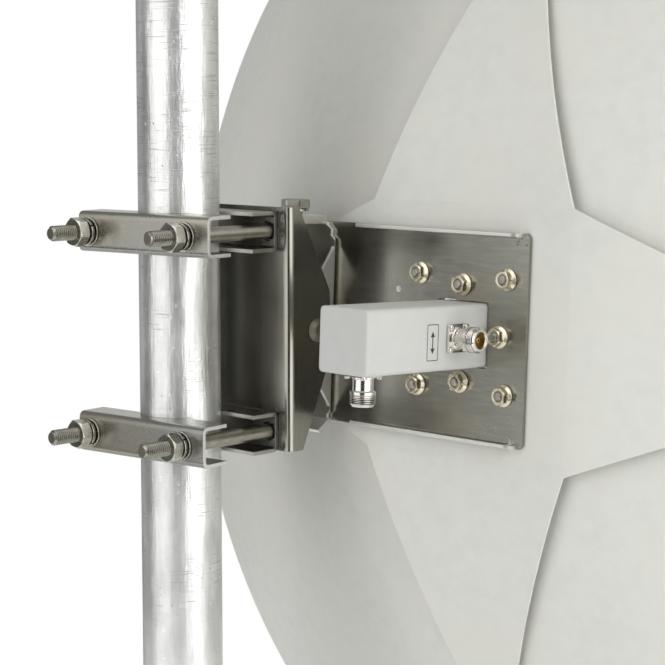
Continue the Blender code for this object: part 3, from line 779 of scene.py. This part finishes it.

# A darkened copy of the stainless: its colour stands in for the shade the pivot bolts sit in, a painted
# shade.
dull_stainless = bright_finish("dull_stainless", (0.20, 0.185, 0.15), 0.45)
pivot_head = bracket_half + gap
pivot_nut = 0.0509
pivot_nut_height = 0.008
pivot_place = Matrix.Translation(pivot_at)
for side, word in ((-1, "near"), (1, "far")):
    def fill_pivot(work):
        profile = rounded([
            (pivot_nut - 0.011, 0), (pivot_nut - 0.011, 0.0045, 0.0004), (pivot_nut - 0.0085, bolt_radius),
            (pivot_head, bolt_radius, 0.0003), (pivot_head, 0.0080, 0.0003),
            (pivot_head + 0.0014, 0.0074, 0.0024), (pivot_head + 0.0030, 0.0042, 0.0034),
            (pivot_head + 0.0032, 0),
        ])
        lathe(work, profile, "X", sides=64)
        foot = pivot_nut - pivot_nut_height
        nut = nut_profile(nut_across, pivot_nut_height, nut_bore, foot)
        limit = hexagon_limit(nut_across, pivot_nut_height, foot)
        lathe(work, nut, "X", sides=120, closed=True, shape=limit, turn=0.2)
        bmesh.ops.scale(work, verts=work.verts, vec=(side, 1, 1))

    pivot_bolt = body_of_mesh(word + "_pivot_screw", fill_pivot)
    fit(pivot_bolt, dull_stainless, "mount", [word + "_pivot_bolt"], pivot_place, crease=28)


# Back plate
# A flat stainless plate that carries the fork at one end and the dish at the other. Its long edges
# are turned up in two low lips, each followed by a gap and a small tab next to the chamfered corner.

pivot_in_dish = (0.1638, 0.0209, -0.0061)
dish_tilt = Matrix.Rotation(math.radians(2.4), 4, "X")
dish_frame = pivot_place @ dish_tilt @ Matrix.Translation(pivot_in_dish).inverted()
plate_near = -0.051
plate_far = 0.2166
plate_top = 0.0645
plate_bottom = -0.0675
lip_depth = 0.005
lip_fold = 0.006
lip_far = 0.09
lip_near = -0.0407
tab_ends = (-0.0461, -0.0440)
plate_corner = 0.0025
window_half = 0.0207
screw_hole = 0.0035
corner_screw = 0.0357
middle_screw = 0.0305
screw_places = [
    (corner_screw, corner_screw), (0, middle_screw), (-corner_screw, corner_screw), (-middle_screw, 0),
    (-corner_screw, -corner_screw), (0, -middle_screw), (corner_screw, -corner_screw), (middle_screw, 0),
]

plate_steel = brushed_finish("plate_steel", (60, 700, 500), (0.36, 0.355, 0.31), 0.22)
plate_outline = [
    (plate_near, plate_bottom + plate_corner), (plate_near + plate_corner, plate_bottom),
    (plate_far, plate_bottom), (plate_far, plate_top), (plate_near + plate_corner, plate_top),
    (plate_near, plate_top - plate_corner),
]


def drill_steps():
    """The eight screw holes and the window for the feed box, cut straight through."""
    reach = 0.03
    bore = [(-reach, screw_hole), (reach, screw_hole)]
    steps = [turned("DIFFERENCE", bore, "Y", (across, 0, up), sides=24) for across, up in screw_places]
    steps.append(pressed("DIFFERENCE", square(window_half, corner=0.002), "Y", -reach, reach))
    return steps


plate_steps = []
for edge, way in ((plate_top, 1), (plate_bottom, -1)):
    fold = edge - way * lip_fold
    beyond = rectangle(plate_near - 0.01, lip_far, fold + way * 0.0002, edge + way * 0.01)
    plate_steps.append(pressed("DIFFERENCE", beyond, "Y", -0.01, 0.01))
    corner = [
        (plate_near, fold - way * 0.0001), (plate_near, edge - way * plate_corner),
        (plate_near + plate_corner, edge), (plate_near + 0.0050, edge),
        (plate_near + 0.0050, fold - way * 0.0001),
    ]
    plate_steps.append(pressed("UNION", corner, "Y", -sheet, 0))
    inner = edge - way * sheet
    lip_section = rounded([
        (-sheet, fold), (-sheet, edge, 0.003), (lip_depth, edge, 0.0006),
        (lip_depth, inner, 0.0006), (0, inner, 0.0008), (0, fold),
    ], closed=True, steps=5)
    for low, high in ((lip_near, lip_far), tab_ends):
        plate_steps.append(pressed("UNION", lip_section, "X", low, high))
plate_steps += drill_steps()
dimple_at = Vector((0.0546, 0, 0.0239))
dimple_radius = 0.0022
dimple = [(-0.0006, 0), (-0.0003, dimple_radius), (0.01, dimple_radius)]
plate_steps.append(turned("DIFFERENCE", dimple, "Y", dimple_at, sides=24))
punch = [(-0.0008, 0.0006), (0.01, 0.0006)]
for across in (-0.0420, -0.0493):
    plate_steps.append(turned("DIFFERENCE", punch, "Y", (across, 0, 0.0575), sides=12))
plate = machine("plate", lambda work: prism(work, plate_outline, "Y", -sheet, 0), plate_steps, edge=0.0003)
# Painted highlights: the ends of the lips and the sides of the tabs go white as glints, the lip tops make a
# bright line, and the dimple a pale spot.
mark_edges_and_highlights(plate, lambda centre, normal: max(
    1.0 * (centre.y > 0.0002 and centre.x < -0.0400 and normal.x < -0.5),
    0.7 * (centre.y > lip_depth - 0.0012),
    0.45 * ((centre - dimple_at).length < dimple_radius),
))
fit(plate, plate_steel, "antenna", ["back_plate"], dish_frame)


# Fork
# A second folding welded on the plate: two cheeks reach back to the pivot, torch-cut relief corners
# show at their ends, a thick tab above takes the adjusting screw, and a flange slopes away below.

fork_near = 0.1101
fork_far = 0.2176
fork_bend = 0.0045
fork_front = gap
fork_back = fork_front + sheet
fork_top = 0.0640
fork_bottom = -0.0678
ear_radius = 0.0165
tab_top = 0.0682
tab_thickness = 0.0055

fork_section = folded(fork_near, fork_far, 0.05, fork_front, fork_bend, steps=6)
upper_wave = [
    (0.0, 0.0500), (0.0003, 0.0523), (0.0043, 0.0552), (0.0037, 0.0589), (0.0078, 0.0621),
    (0.0084, fork_top),
]
lower_wave = [(0.0, -0.0580), (0.0008, -0.0620), (0.0036, -0.0635), (0.0034, -0.0660), (0.0022, fork_bottom)]
fork_face = [(fork_near + step, up) for step, up in upper_wave]
fork_face += [(fork_far - step, up) for step, up in reversed(upper_wave)]
fork_face += [(fork_far - step, up) for step, up in lower_wave]
fork_face += [(fork_near + step, up) for step, up in reversed(lower_wave)]
fork_face = rounded([(*point, 0.0008) for point in fork_face], closed=True, steps=3)
fork_side = [(-0.001, 0.07), (-0.001, -0.07), (fork_back, -0.07), (fork_back, -0.058)]
for angle in range(-50, 41, 6):
    turn = math.radians(angle)
    deep = pivot_in_dish[1] + ear_radius * math.cos(turn)
    fork_side.append((deep, pivot_in_dish[2] + ear_radius * math.sin(turn)))
fork_side += [(fork_back, 0.048), (fork_back, 0.07)]
tab = rectangle(fork_near + 0.0112, fork_far - 0.0112, fork_front, fork_front + 0.0257, corner=0.0012)
flange = rounded([
    (fork_front, -0.0665), (fork_back, -0.0665), (0.0125, -0.0733, 0.0006), (0.0110, -0.0755, 0.0006),
    (fork_front, -0.0692),
], closed=True)
adjust_at = (0.1338, 0.0170, tab_top)
adjust_hole = [(-0.01, 0.0053), (0.01, 0.0053)]
fork_steps = [
    pressed("INTERSECT", fork_face, "Y", -0.01, 0.06),
    pressed("INTERSECT", fork_side, "X", 0.09, 0.24),
    pressed("UNION", tab, "Z", tab_top - tab_thickness, tab_top),
    pressed("UNION", flange, "X", fork_near + 0.001, fork_far - 0.001),
    turned("DIFFERENCE", pivot_hole, "X", pivot_in_dish),
    turned("DIFFERENCE", adjust_hole, "Z", adjust_at),
]
fork = machine("fork_folding", lambda work: prism(work, fork_section, "Z", fork_bottom, fork_top),
               fork_steps, edge=0.0004)
fork_steel = brushed_finish("fork_steel", (120, 120, 60), (0.72, 0.71, 0.66), 0.32)
# The wavy cut edges and the edges of tab and flange are paled as cut edges with a painted highlight; the
# cheeks' faces are paled by how far they turn outwards, a painted highlight on that side.
mark_edges_and_highlights(fork, lambda centre, normal: max(
    1.0 * (abs(normal.y) < 0.9 and centre.y < 0.0040 and abs(centre.z) > 0.0495),
    1.0 * (abs(normal.x) < 0.6 and centre.y > 0.0040),
    0.3 * max(0, normal.x if centre.x > pivot_in_dish[0] else -normal.x),
))
fit(fork, fork_steel, "antenna", ["fork"], dish_frame)

adjust_head = 0.0060


def fill_adjuster(work):
    """Plain washer, spring washer, head and shank of the adjusting screw, its head towards -Y."""
    origin = (0, 0, 0)
    washer(work, origin, -0.0018, 0.0052, 0.0091, 0.0018)
    split_ring(work, origin, -0.0037, 0.0053, 0.0088, 0.0017, 2.6)
    foot = -0.0040 - adjust_head
    profile = [
        (foot + 0.0003, 0), (foot + 0.0003, 0.0055), (foot, 0.006), (foot, 0.0082),
        (foot + 0.0001, 0.0099), (foot + adjust_head / 3, 0.0099), (foot + adjust_head - 0.0001, 0.0099),
        (foot + adjust_head, 0.0082), (foot + adjust_head, bolt_radius),
    ]
    profile += thread_rings(-0.0035, 0.0130, bolt_radius, thread_pitch)
    profile += rounded([(0.0130, bolt_radius), (0.0140, 0.004, 0.0004), (0.0140, 0)])
    limit = hexagon_limit(nut_across, adjust_head, foot, (True, False))
    lathe(work, profile, "Y", sides=120, shape=limit)


adjuster = body_of_mesh("adjuster", fill_adjuster)
grow(adjuster, cut_thread, At=(0, 0, 0), Start=-0.0020, End=0.0139, Pitch=thread_pitch,
     Depth=thread_depth, Radius=bolt_radius, Core=thread_core, Material=nut_metal)
adjust_place = dish_frame @ Matrix.Translation((*adjust_at[:2], tab_top + gap))
adjust_place = adjust_place @ Matrix.Rotation(0.6, 4, "Z") @ Matrix.Rotation(-math.pi / 2, 4, "X")
fit(adjuster, nut_metal, "antenna", ["adjusting_screw"], adjust_place, crease=28)


# Dish
# A sheet reflector, spun to a parabola round a flat middle, with a rolled rim, and behind it a
# four-pointed stiffening star of folded sheet. Both wear the same light grey powder paint.

dish_focus = 0.292
dish_radius = 0.4
dish_flat = 0.075
dish_sheet = 0.002
star_sheet = 0.0015
star_half = 0.081
star_tip = 0.276
star_tip_half = 0.0035
star_fold = 0.08
lean_start = 0.15


def paint_finish(name, colour):
    """Powder paint: an even satin coat with a fine orange peel and a faint mottle."""
    paint = Finish(name)
    peel = paint.grain((900, 900, 900), detail=2)
    mottle = paint.grain((90, 90, 90), detail=4)
    cloud = paint.grain((9, 9, 9), detail=2)
    deep = tuple(0.955 * part for part in colour)
    warm = (colour[0] * 1.01, colour[1], colour[2] * 0.965)
    shade = paint.blend(paint.band(mottle, 0.35, 0.7), colour, deep)
    shade = paint.blend(paint.band(cloud, 0.35, 0.65) * 0.6, shade, warm)
    return paint.surface(shade, 0.42 + mottle * 0.12, peel + mottle * 0.5, relief=0.00009)


dish_paint = paint_finish("light_grey_paint", (0.71, 0.715, 0.67))


def dish_depth(reach):
    """Back face of the bowl at this distance from the axis."""
    flat = -sheet - star_sheet - 2 * gap
    if reach <= dish_flat:
        return flat
    return flat - (reach**2 - dish_flat**2) / (4 * dish_focus)


def dish_lean(across, up):
    """The bowl leans a little forward at its top, from 150 mm outwards."""
    reach = math.hypot(across, up)
    if reach <= lean_start:
        return 0.0
    return -0.027 * up * (reach - lean_start) / (dish_radius - lean_start)


def star_depth(reach):
    """Front face of the star along the middle of a point: a fold, then the curve of the bowl."""
    flat = -sheet - gap - star_sheet
    if reach <= star_half:
        return flat
    step = reach - star_half
    length = star_tip - star_half
    drop = dish_depth(star_tip) + 2 * gap - flat + star_fold * length
    return flat - star_fold * step + drop * (step / length) ** 2


def fill_bowl(work):
    count = 44
    reaches = [dish_flat + (dish_radius - dish_flat) * step / count for step in range(count + 1)]
    edge = dish_depth(dish_radius)
    rim = dish_radius + 0.004
    profile = [(dish_depth(reach), reach) for reach in (0.001, 0.03, 0.06)]
    profile += [(dish_depth(reach), reach) for reach in reaches]
    profile += rounded([
        (edge, dish_radius), (edge - 0.0016, rim, 0.0015), (edge - 0.008, rim, 0.0008),
        (edge - 0.008, rim - dish_sheet, 0.0008), (edge - 0.0042, dish_radius - 0.0008),
    ])[1:]
    profile += [(dish_depth(reach) - dish_sheet, reach) for reach in reversed(reaches[:-1])]
    profile += [(dish_depth(0) - dish_sheet, reach) for reach in (0.06, 0.03, 0.001)]
    lathe(work, profile, "Y", sides=192)
    for vertex in work.verts:
        vertex.co.y += dish_lean(vertex.co.x, vertex.co.z)


bowl = machine("bowl", fill_bowl, drill_steps())
fit(bowl, dish_paint, "antenna", ["reflector"], dish_frame, crease=25)


def fill_star(work):
    """The middle square and four points as one skin, then thickened towards +Y."""
    steps = 40
    columns = 8
    middle = []
    for quarter in range(4):
        spin = Matrix.Rotation(math.pi / 2 * quarter, 3, "Y")
        rows = []
        for step in range(steps + 1):
            share = step / steps
            reach = star_half + (star_tip - star_half) * share
            half = star_half + (star_tip_half - star_half) * share
            row = []
            for column in range(columns + 1):
                across = half * (2 * column / columns - 1)
                point = spin @ Vector((across, star_depth(reach), reach))
                point.y += dish_lean(point.x, point.z)
                row.append(work.verts.new(point))
            rows.append(row)
        for low, high in zip(rows, rows[1:]):
            for column in range(columns):
                work.faces.new((low[column], low[column + 1], high[column + 1], high[column]))
        middle += [work.verts.new(vertex.co) for vertex in rows[0][:-1]]
    work.faces.new(middle)
    bmesh.ops.remove_doubles(work, verts=work.verts, dist=1e-6)
    skin = bmesh.ops.extrude_face_region(work, geom=work.faces[:])
    back = [item for item in skin["geom"] if isinstance(item, bmesh.types.BMVert)]
    bmesh.ops.translate(work, verts=back, vec=(0, star_sheet, 0))


star = machine("star", fill_star, drill_steps(), edge=0.0003)
fit(star, dish_paint, "antenna", ["stiffening_star"], dish_frame, crease=3)


# Screws and flange nuts
# Eight M6 screws hold plate, star and bowl together: domed heads in the bowl, and flange nuts
# behind, bright zinc with a yellowish passivation.

yellow_zinc = bright_finish("yellow_zinc", (0.78, 0.72, 0.56), 0.14)
collar_radius = 0.0070
collar_height = 0.0020


def fill_flange_nut(work):
    foot = gap
    profile = rounded([
        (foot, 0.0030), (foot, collar_radius, 0.0002), (foot + 0.0010, collar_radius, 0.0003),
        (foot + collar_height, 0.0052),
    ])
    top = foot + 0.0062
    profile += [(foot + 0.0026, 0.0060), (foot + 0.0045, 0.0060), (top - 0.0001, 0.0060), (top, 0.0049)]
    profile += rounded([(top, 0.0040), (top, 0.0034, 0.0003), (top - 0.0010, 0.0029)])
    limit = hexagon_limit(0.0101, 0.0042, foot + collar_height, (False, True))
    lathe(work, profile, "Y", sides=120, closed=True, shape=limit)


def set_out_tree():
    """Copies of one piece on the input's points, each turned about Y by the point's own spin."""
    tree, given = new_growth("set_out", {"Piece": "Object", "Material": "Material"})
    piece = tree.node("GeometryNodeObjectInfo", inputs={"Object": given["Piece"]}, output="Geometry")
    spin = tree.node("GeometryNodeInputNamedAttribute", {"data_type": "FLOAT"}, {"Name": "spin"})
    turn = tree.node("ShaderNodeCombineXYZ", inputs={1: spin})
    laid = tree.node("GeometryNodeInstanceOnPoints", inputs={
        "Points": given["Geometry"], "Instance": piece, "Rotation": turn,
    })
    return end_growth(tree, laid, given["Material"])


set_out = set_out_tree()


def copies(name, piece, places, spins, material):
    """One mesh with a copy of piece at each place; piece itself is used up."""
    made = body_of_mesh(name, lambda work: [work.verts.new(place) for place in places])
    spin = made.data.attributes.new("spin", "FLOAT", "POINT")
    spin.data.foreach_set("value", spins)
    grow(made, set_out, Piece=piece, Material=material)
    bpy.data.objects.remove(piece)
    return made


nut_spins = [-0.35 * number for number in range(1, 9)]
screw_points = [(across, 0, up) for across, up in screw_places]
flange_nut = body_of_mesh("one_flange_nut", fill_flange_nut)
flange_nuts = copies("flange_nuts", flange_nut, screw_points, nut_spins, yellow_zinc)
nut_nodes = [f"flange_nut_{number}" for number in range(1, 9)]
fit(flange_nuts, yellow_zinc, "antenna", nut_nodes, dish_frame, crease=28)

screw_seat = dish_depth(0) - dish_sheet - gap
screw_tip = 0.0072
screw_radius = 0.003
screw_pitch = 0.001


def fill_screw(work):
    profile = rounded([
        (screw_seat - 0.0014, 0), (screw_seat - 0.0014, 0.0022, 0.0002),
        (screw_seat - 0.0034, 0.0024, 0.0004), (screw_seat - 0.0028, 0.0052, 0.0016),
        (screw_seat, 0.0065, 0.0003), (screw_seat, screw_radius),
    ])
    profile += thread_rings(0.0, screw_tip - 0.0006, screw_radius, screw_pitch)
    profile += rounded([(screw_tip - 0.0006, screw_radius), (screw_tip, 0.0023, 0.0002), (screw_tip, 0)])
    lathe(work, profile, "Y", sides=36)


screw = body_of_mesh("one_screw", fill_screw)
grow(screw, cut_thread, At=(0, 0, 0), Start=0.0, End=screw_tip - 0.0001, Pitch=screw_pitch, Depth=0.0006,
     Radius=screw_radius, Core=0.0022, Material=stainless)
screws = copies("screws", screw, screw_points, nut_spins, stainless)
screw_nodes = [f"screw_{number}" for number in range(1, 9)]
fit(screws, stainless, "antenna", screw_nodes, dish_frame, crease=35)


# Feed box
# A square aluminium housing, painted white, that stands out behind the dish through its window.
# A small framed panel with a two-way arrow marks the side socket's plane of polarisation.

box_half = 0.0198
box_length = 0.107
box_front = dish_depth(0) - dish_sheet - 0.002

white_paint = paint_finish("white_paint", (0.565, 0.57, 0.55))
box_outline = square(box_half, corner=0.0032)
box = machine("feed_housing", lambda work: prism(work, box_outline, "Y", box_front, box_length),
              edge=0.0016, edge_steps=4)
fit(box, white_paint, "antenna", ["feed_box"], dish_frame)


def fill_panel(work):
    """A frame and an arrow, printed as a film a few hundredths of a millimetre thick."""
    outside = rectangle(0.0447, 0.0548, -0.0130, 0.0092, corner=0.0012)
    inside = rectangle(0.0452, 0.0543, -0.0125, 0.0087, corner=0.0008)
    low, high = -box_half - 0.00006, -box_half
    loops = []
    for across, outline in ((low, outside), (high, outside), (high, inside), (low, inside)):
        loops.append([work.verts.new((across, *point)) for point in outline])
    for one, two in zip(loops, loops[1:] + loops[:1]):
        bridge(work, one, two)
    middle = 0.04975
    for way in (-1, 1):
        tip = -0.002 + way * 0.0068
        base = tip - way * 0.0034
        head = [(middle - 0.0019, base), (middle, tip), (middle + 0.0019, base)]
        prism(work, head, "X", low, high)
    shaft = rectangle(middle - 0.0004, middle + 0.0004, -0.0056, 0.0016)
    prism(work, shaft, "X", low, high)


ink = plastic_finish("black_ink", (0.035, 0.035, 0.04), 0.5)
panel = body_of_mesh("polarisation_mark", fill_panel)
fit(panel, ink, "antenna", place=dish_frame)


# Coaxial sockets
# Nickel-plated brass, with a square flange held by four small screws, a thread 15.8 mm across, and
# a gilt sleeve and centre contact in a pale insulator. One socket points down, one sideways.

nickel = bright_finish("nickel_plate", (0.80, 0.77, 0.72), 0.12, wear=0.1)
gold = bright_finish("gilt_contact", (0.55, 0.38, 0.14), 0.25)
insulator = plastic_finish("insulator", (0.62, 0.60, 0.52), 0.4)

flange_half = 0.00875
flange_thickness = 0.0022
socket_thread = 0.0079
socket_pitch = 0.00106


def socket_frame(axis, centre):
    """Turns +Y to the socket's outward axis and moves it to the box's face."""
    turn = Matrix.Rotation(math.pi / 2, 4, "Z") if axis == "X" else Matrix.Rotation(-math.pi / 2, 4, "X")
    return dish_frame @ Matrix.Translation(centre) @ turn


def fill_socket_flange(work):
    prism(work, square(flange_half, corner=0.0012), "Y", gap, flange_thickness)


def fill_barrel(work):
    profile = rounded([
        (0.0010, 0.0048), (0.0010, 0.0072, 0.0003), (0.0031, 0.0072, 0.0003), (0.0034, 0.0064, 0.0003),
        (0.0103, 0.0064, 0.0003), (0.0110, socket_thread, 0.0002), (0.0124, socket_thread, 0.0002),
        (0.0125, 0.0074, 0.0001), (0.0128, 0.0074, 0.0001), (0.0130, socket_thread),
    ])
    profile += thread_rings(0.0131, 0.0182, socket_thread, socket_pitch)
    profile += rounded([
        (0.0182, socket_thread), (0.0188, 0.0071, 0.0002), (0.0192, 0.0069, 0.0002),
        (0.0200, 0.0066, 0.0003), (0.0200, 0.0053, 0.0003), (0.0190, 0.0048, 0.0004),
        (0.0100, 0.0046), (0.0010, 0.0046),
    ])
    lathe(work, profile, "Y", sides=72, closed=True)


def fill_core(work):
    profile = rounded([
        (0.0079, 0), (0.0079, 0.0044), (0.0120, 0.0044, 0.0002), (0.0120, 0.0022, 0.0003),
        (0.0138, 0.0020, 0.0003), (0.0138, 0),
    ])
    lathe(work, profile, "Y", sides=40)


def fill_contact(work):
    profile = rounded([
        (0.0130, 0), (0.0130, 0.0016), (0.0178, 0.0016, 0.0003), (0.0180, 0.0009, 0.0001), (0.0160, 0.0008),
        (0.0160, 0),
    ])
    lathe(work, profile, "Y", sides=28)
    sleeve = [(0.0118, 0.00435), (0.0192, 0.00435), (0.0192, 0.00448), (0.0118, 0.00448)]
    lathe(work, sleeve, "Y", sides=56, closed=True)


def fill_pan_head(work):
    profile = rounded([
        (0.0, 0), (0.0, 0.0019, 0.0002), (0.0012, 0.0018, 0.0005), (0.0014, 0.0006, 0.0002),
        (0.0009, 0.0004), (0.0009, 0),
    ])
    lathe(work, profile, "Y", (0, flange_thickness, 0), sides=28)


def make_socket(word, axis, centre):
    """One socket as five pieces: flange, barrel, corner screws, insulator and contact."""
    stand = socket_frame(axis, centre)
    flange = machine(word + "_socket_flange", fill_socket_flange, edge=0.0003)
    fit(flange, nickel, "antenna", place=stand)
    barrel = body_of_mesh(word + "_socket_barrel", fill_barrel)
    grow(barrel, cut_thread, At=(0, 0, 0), Start=0.0130, End=0.0187, Pitch=socket_pitch, Depth=0.0006,
         Radius=socket_thread, Core=0.0060, Material=nickel)
    fit(barrel, nickel, "antenna", [word + "_socket"], stand, crease=60)
    head = body_of_mesh("one_pan_head", fill_pan_head)
    reach = 0.0068
    corners = [(across * reach, 0, up * reach) for across in (-1, 1) for up in (-1, 1)]
    heads = copies(word + "_socket_screws", head, corners, [0.2, 1.0, 2.1, 0.7], nickel)
    fit(heads, nickel, "antenna", place=stand, crease=40)
    fit(body_of_mesh(word + "_socket_insulator", fill_core), insulator, "antenna", place=stand)
    fit(body_of_mesh(word + "_socket_contact", fill_contact), gold, "antenna", place=stand)


make_socket("bottom", "Z", (0, 0.0885, -box_half))
make_socket("side", "X", (-box_half, 0.0287, 0))


# Feed in front of the bowl
# A turned aluminium tube on a round flange carries a pale plastic cap near the focus, out of
# the photograph's sight; its form is that of common feeds of this kind.

tube_radius = 0.016
groove_radius = tube_radius - 0.0006
tube_end = -0.262
tube_start = box_front - gap

turned_alloy = bright_finish("turned_aluminium", (0.74, 0.745, 0.75), 0.32)
tube_profile = rounded([
    (tube_start, 0), (tube_start, 0.024, 0.0003), (tube_start - 0.003, 0.024, 0.0005),
    (tube_start - 0.003, tube_radius + 0.0012, 0.0015), (tube_start - 0.009, tube_radius, 0.0005),
    (-0.060, tube_radius), (-0.061, groove_radius), (-0.063, groove_radius), (-0.064, tube_radius),
    (-0.245, tube_radius), (-0.246, groove_radius), (-0.248, groove_radius), (-0.249, tube_radius),
    (tube_end, tube_radius, 0.0004), (tube_end, 0),
])
tube = body_of_mesh("feed_pipe", lambda work: lathe(work, tube_profile, "Y", sides=96))
fit(tube, turned_alloy, "antenna", ["feed_tube"], dish_frame, crease=30)

cap_start = tube_end - gap
feed_cap_profile = rounded([
    (cap_start, 0), (cap_start, tube_radius, 0.0004), (cap_start - 0.006, tube_radius + 0.001, 0.002),
    (cap_start - 0.022, 0.030, 0.004), (cap_start - 0.024, 0.036, 0.001), (cap_start - 0.031, 0.036, 0.0015),
    (cap_start - 0.034, 0.030, 0.004), (cap_start - 0.034, 0),
])
pale_plastic = plastic_finish("pale_plastic", (0.74, 0.74, 0.71), 0.42)
feed_cap = body_of_mesh("feed_radome", lambda work: lathe(work, feed_cap_profile, "Y", sides=96))
fit(feed_cap, pale_plastic, "antenna", ["feed_cap"], dish_frame, crease=30)


# Studio
# A pale round floor that fades outwards, a softbox overhead, one to each side of the camera and one
# before the dish, in a dim room that gives the post its dark middle. The camera stands where the
# photograph was taken.

floor_reach = 1.35


def floor_finish():
    """A white floor that glows, dimly in the middle and brighter outwards, so that it fades into the
    background: a painted glow.
    """
    floor = Finish("studio_floor", Emission_Strength=1.0)
    cloud = floor.grain((2, 2, 2), detail=2)
    away = floor.node("ShaderNodeVectorMath", {"operation": "LENGTH"}, {0: floor.place}, output="Value")
    fade = floor.band(away, floor_reach * 0.35, floor_reach * 0.98)
    painted_glow = floor.blend(fade, (0.08, 0.08, 0.08), (0.55, 0.55, 0.55))
    floor.join(painted_glow, floor.shader.inputs["Emission Color"])
    return floor.surface(floor.blend(cloud, (0.90, 0.90, 0.90), (0.88, 0.88, 0.88)), 0.9)


floor_turn = [step * math.pi / 48 for step in range(96)]
floor_rim = [(floor_reach * math.cos(turn), floor_reach * math.sin(turn)) for turn in floor_turn]
floor = body_of_mesh("floor", lambda work: prism(work, floor_rim, "Z", -0.02, -0.0005))
floor.data.materials.append(floor_finish())
floor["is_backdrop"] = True


def aimed(name, data, spot, look):
    """A camera or a lamp at spot that looks along look."""
    made = bpy.data.objects.new(name, data)
    made.location = spot
    made.rotation_mode = "QUATERNION"
    made.rotation_quaternion = look.to_track_quat("-Z", "Y")
    bpy.context.scene.collection.objects.link(made)
    return made


camera_spot = Vector((-0.9706, 0.8483, 0.8009))
camera_look = Vector((0.6950, -0.7088, -0.1210))
camera_data = bpy.data.cameras.new("photo_camera")
camera_data.sensor_width = 36
camera_data.lens = 107.85
bpy.context.scene.camera = aimed("photo_camera", camera_data, camera_spot, camera_look)


def softbox(name, bearing, distance, height, width, tall, strength):
    """A large soft lamp that the camera doesn't see; bearing is in degrees from +X towards +Y."""
    aim = Vector((-0.1, -0.05, 0.65))
    turn = math.radians(bearing)
    spot = aim + Vector((distance * math.cos(turn), distance * math.sin(turn), height))
    data = bpy.data.lights.new(name, "AREA")
    data.shape = "RECTANGLE"
    data.size = width
    data.size_y = tall
    data.energy = strength * width * tall * math.pi
    lamp = aimed(name, data, spot, aim - spot)
    lamp.visible_camera = False


softbox("top_softbox", 85, 1.3, 2.1, 2.6, 1.8, 0.65)
softbox("left_softbox", 81, 2.0, 0.45, 2.3, 2.4, 1.42)
softbox("right_softbox", 180, 2.0, 0.45, 2.3, 2.4, 2.4)
softbox("front_softbox", 255, 3.0, 1.2, 2.4, 2.0, 0.9)

world = bpy.data.worlds.new("studio")
bpy.context.scene.world = world
world.use_nodes = True
sky = Tree(world.node_tree)
background = world.node_tree.nodes["Background"]
seen = sky.node("ShaderNodeLightPath", output="Is Camera Ray")
toward = sky.node("ShaderNodeTexCoord", output="Generated")
height_seen = sky.node("ShaderNodeSeparateXYZ", inputs={0: toward}, output="Z")


def facing(bearing):
    """1 in the part of the room at this bearing, less away from it."""
    turn = math.radians(bearing)
    way = (math.cos(turn), math.sin(turn), 0)
    product = {"operation": "DOT_PRODUCT"}
    return sky.node("ShaderNodeVectorMath", product, {0: toward, 1: way}, output="Value")


# The room glows overhead and from two bearings.
room = sky.band(height_seen, 0.1, 0.8, 0.3) + sky.band(facing(314), 0.85, 0.97, 0.8)
room = room + sky.band(facing(5), 0.93, 0.99, 0.4) + 0.05
sky.join(seen + (1 - seen) * room, background.inputs["Strength"])
background.inputs["Color"].default_value = (1.0, 1.0, 1.0, 1.0)
bpy.context.scene.view_settings.view_transform = "Standard"

low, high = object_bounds()
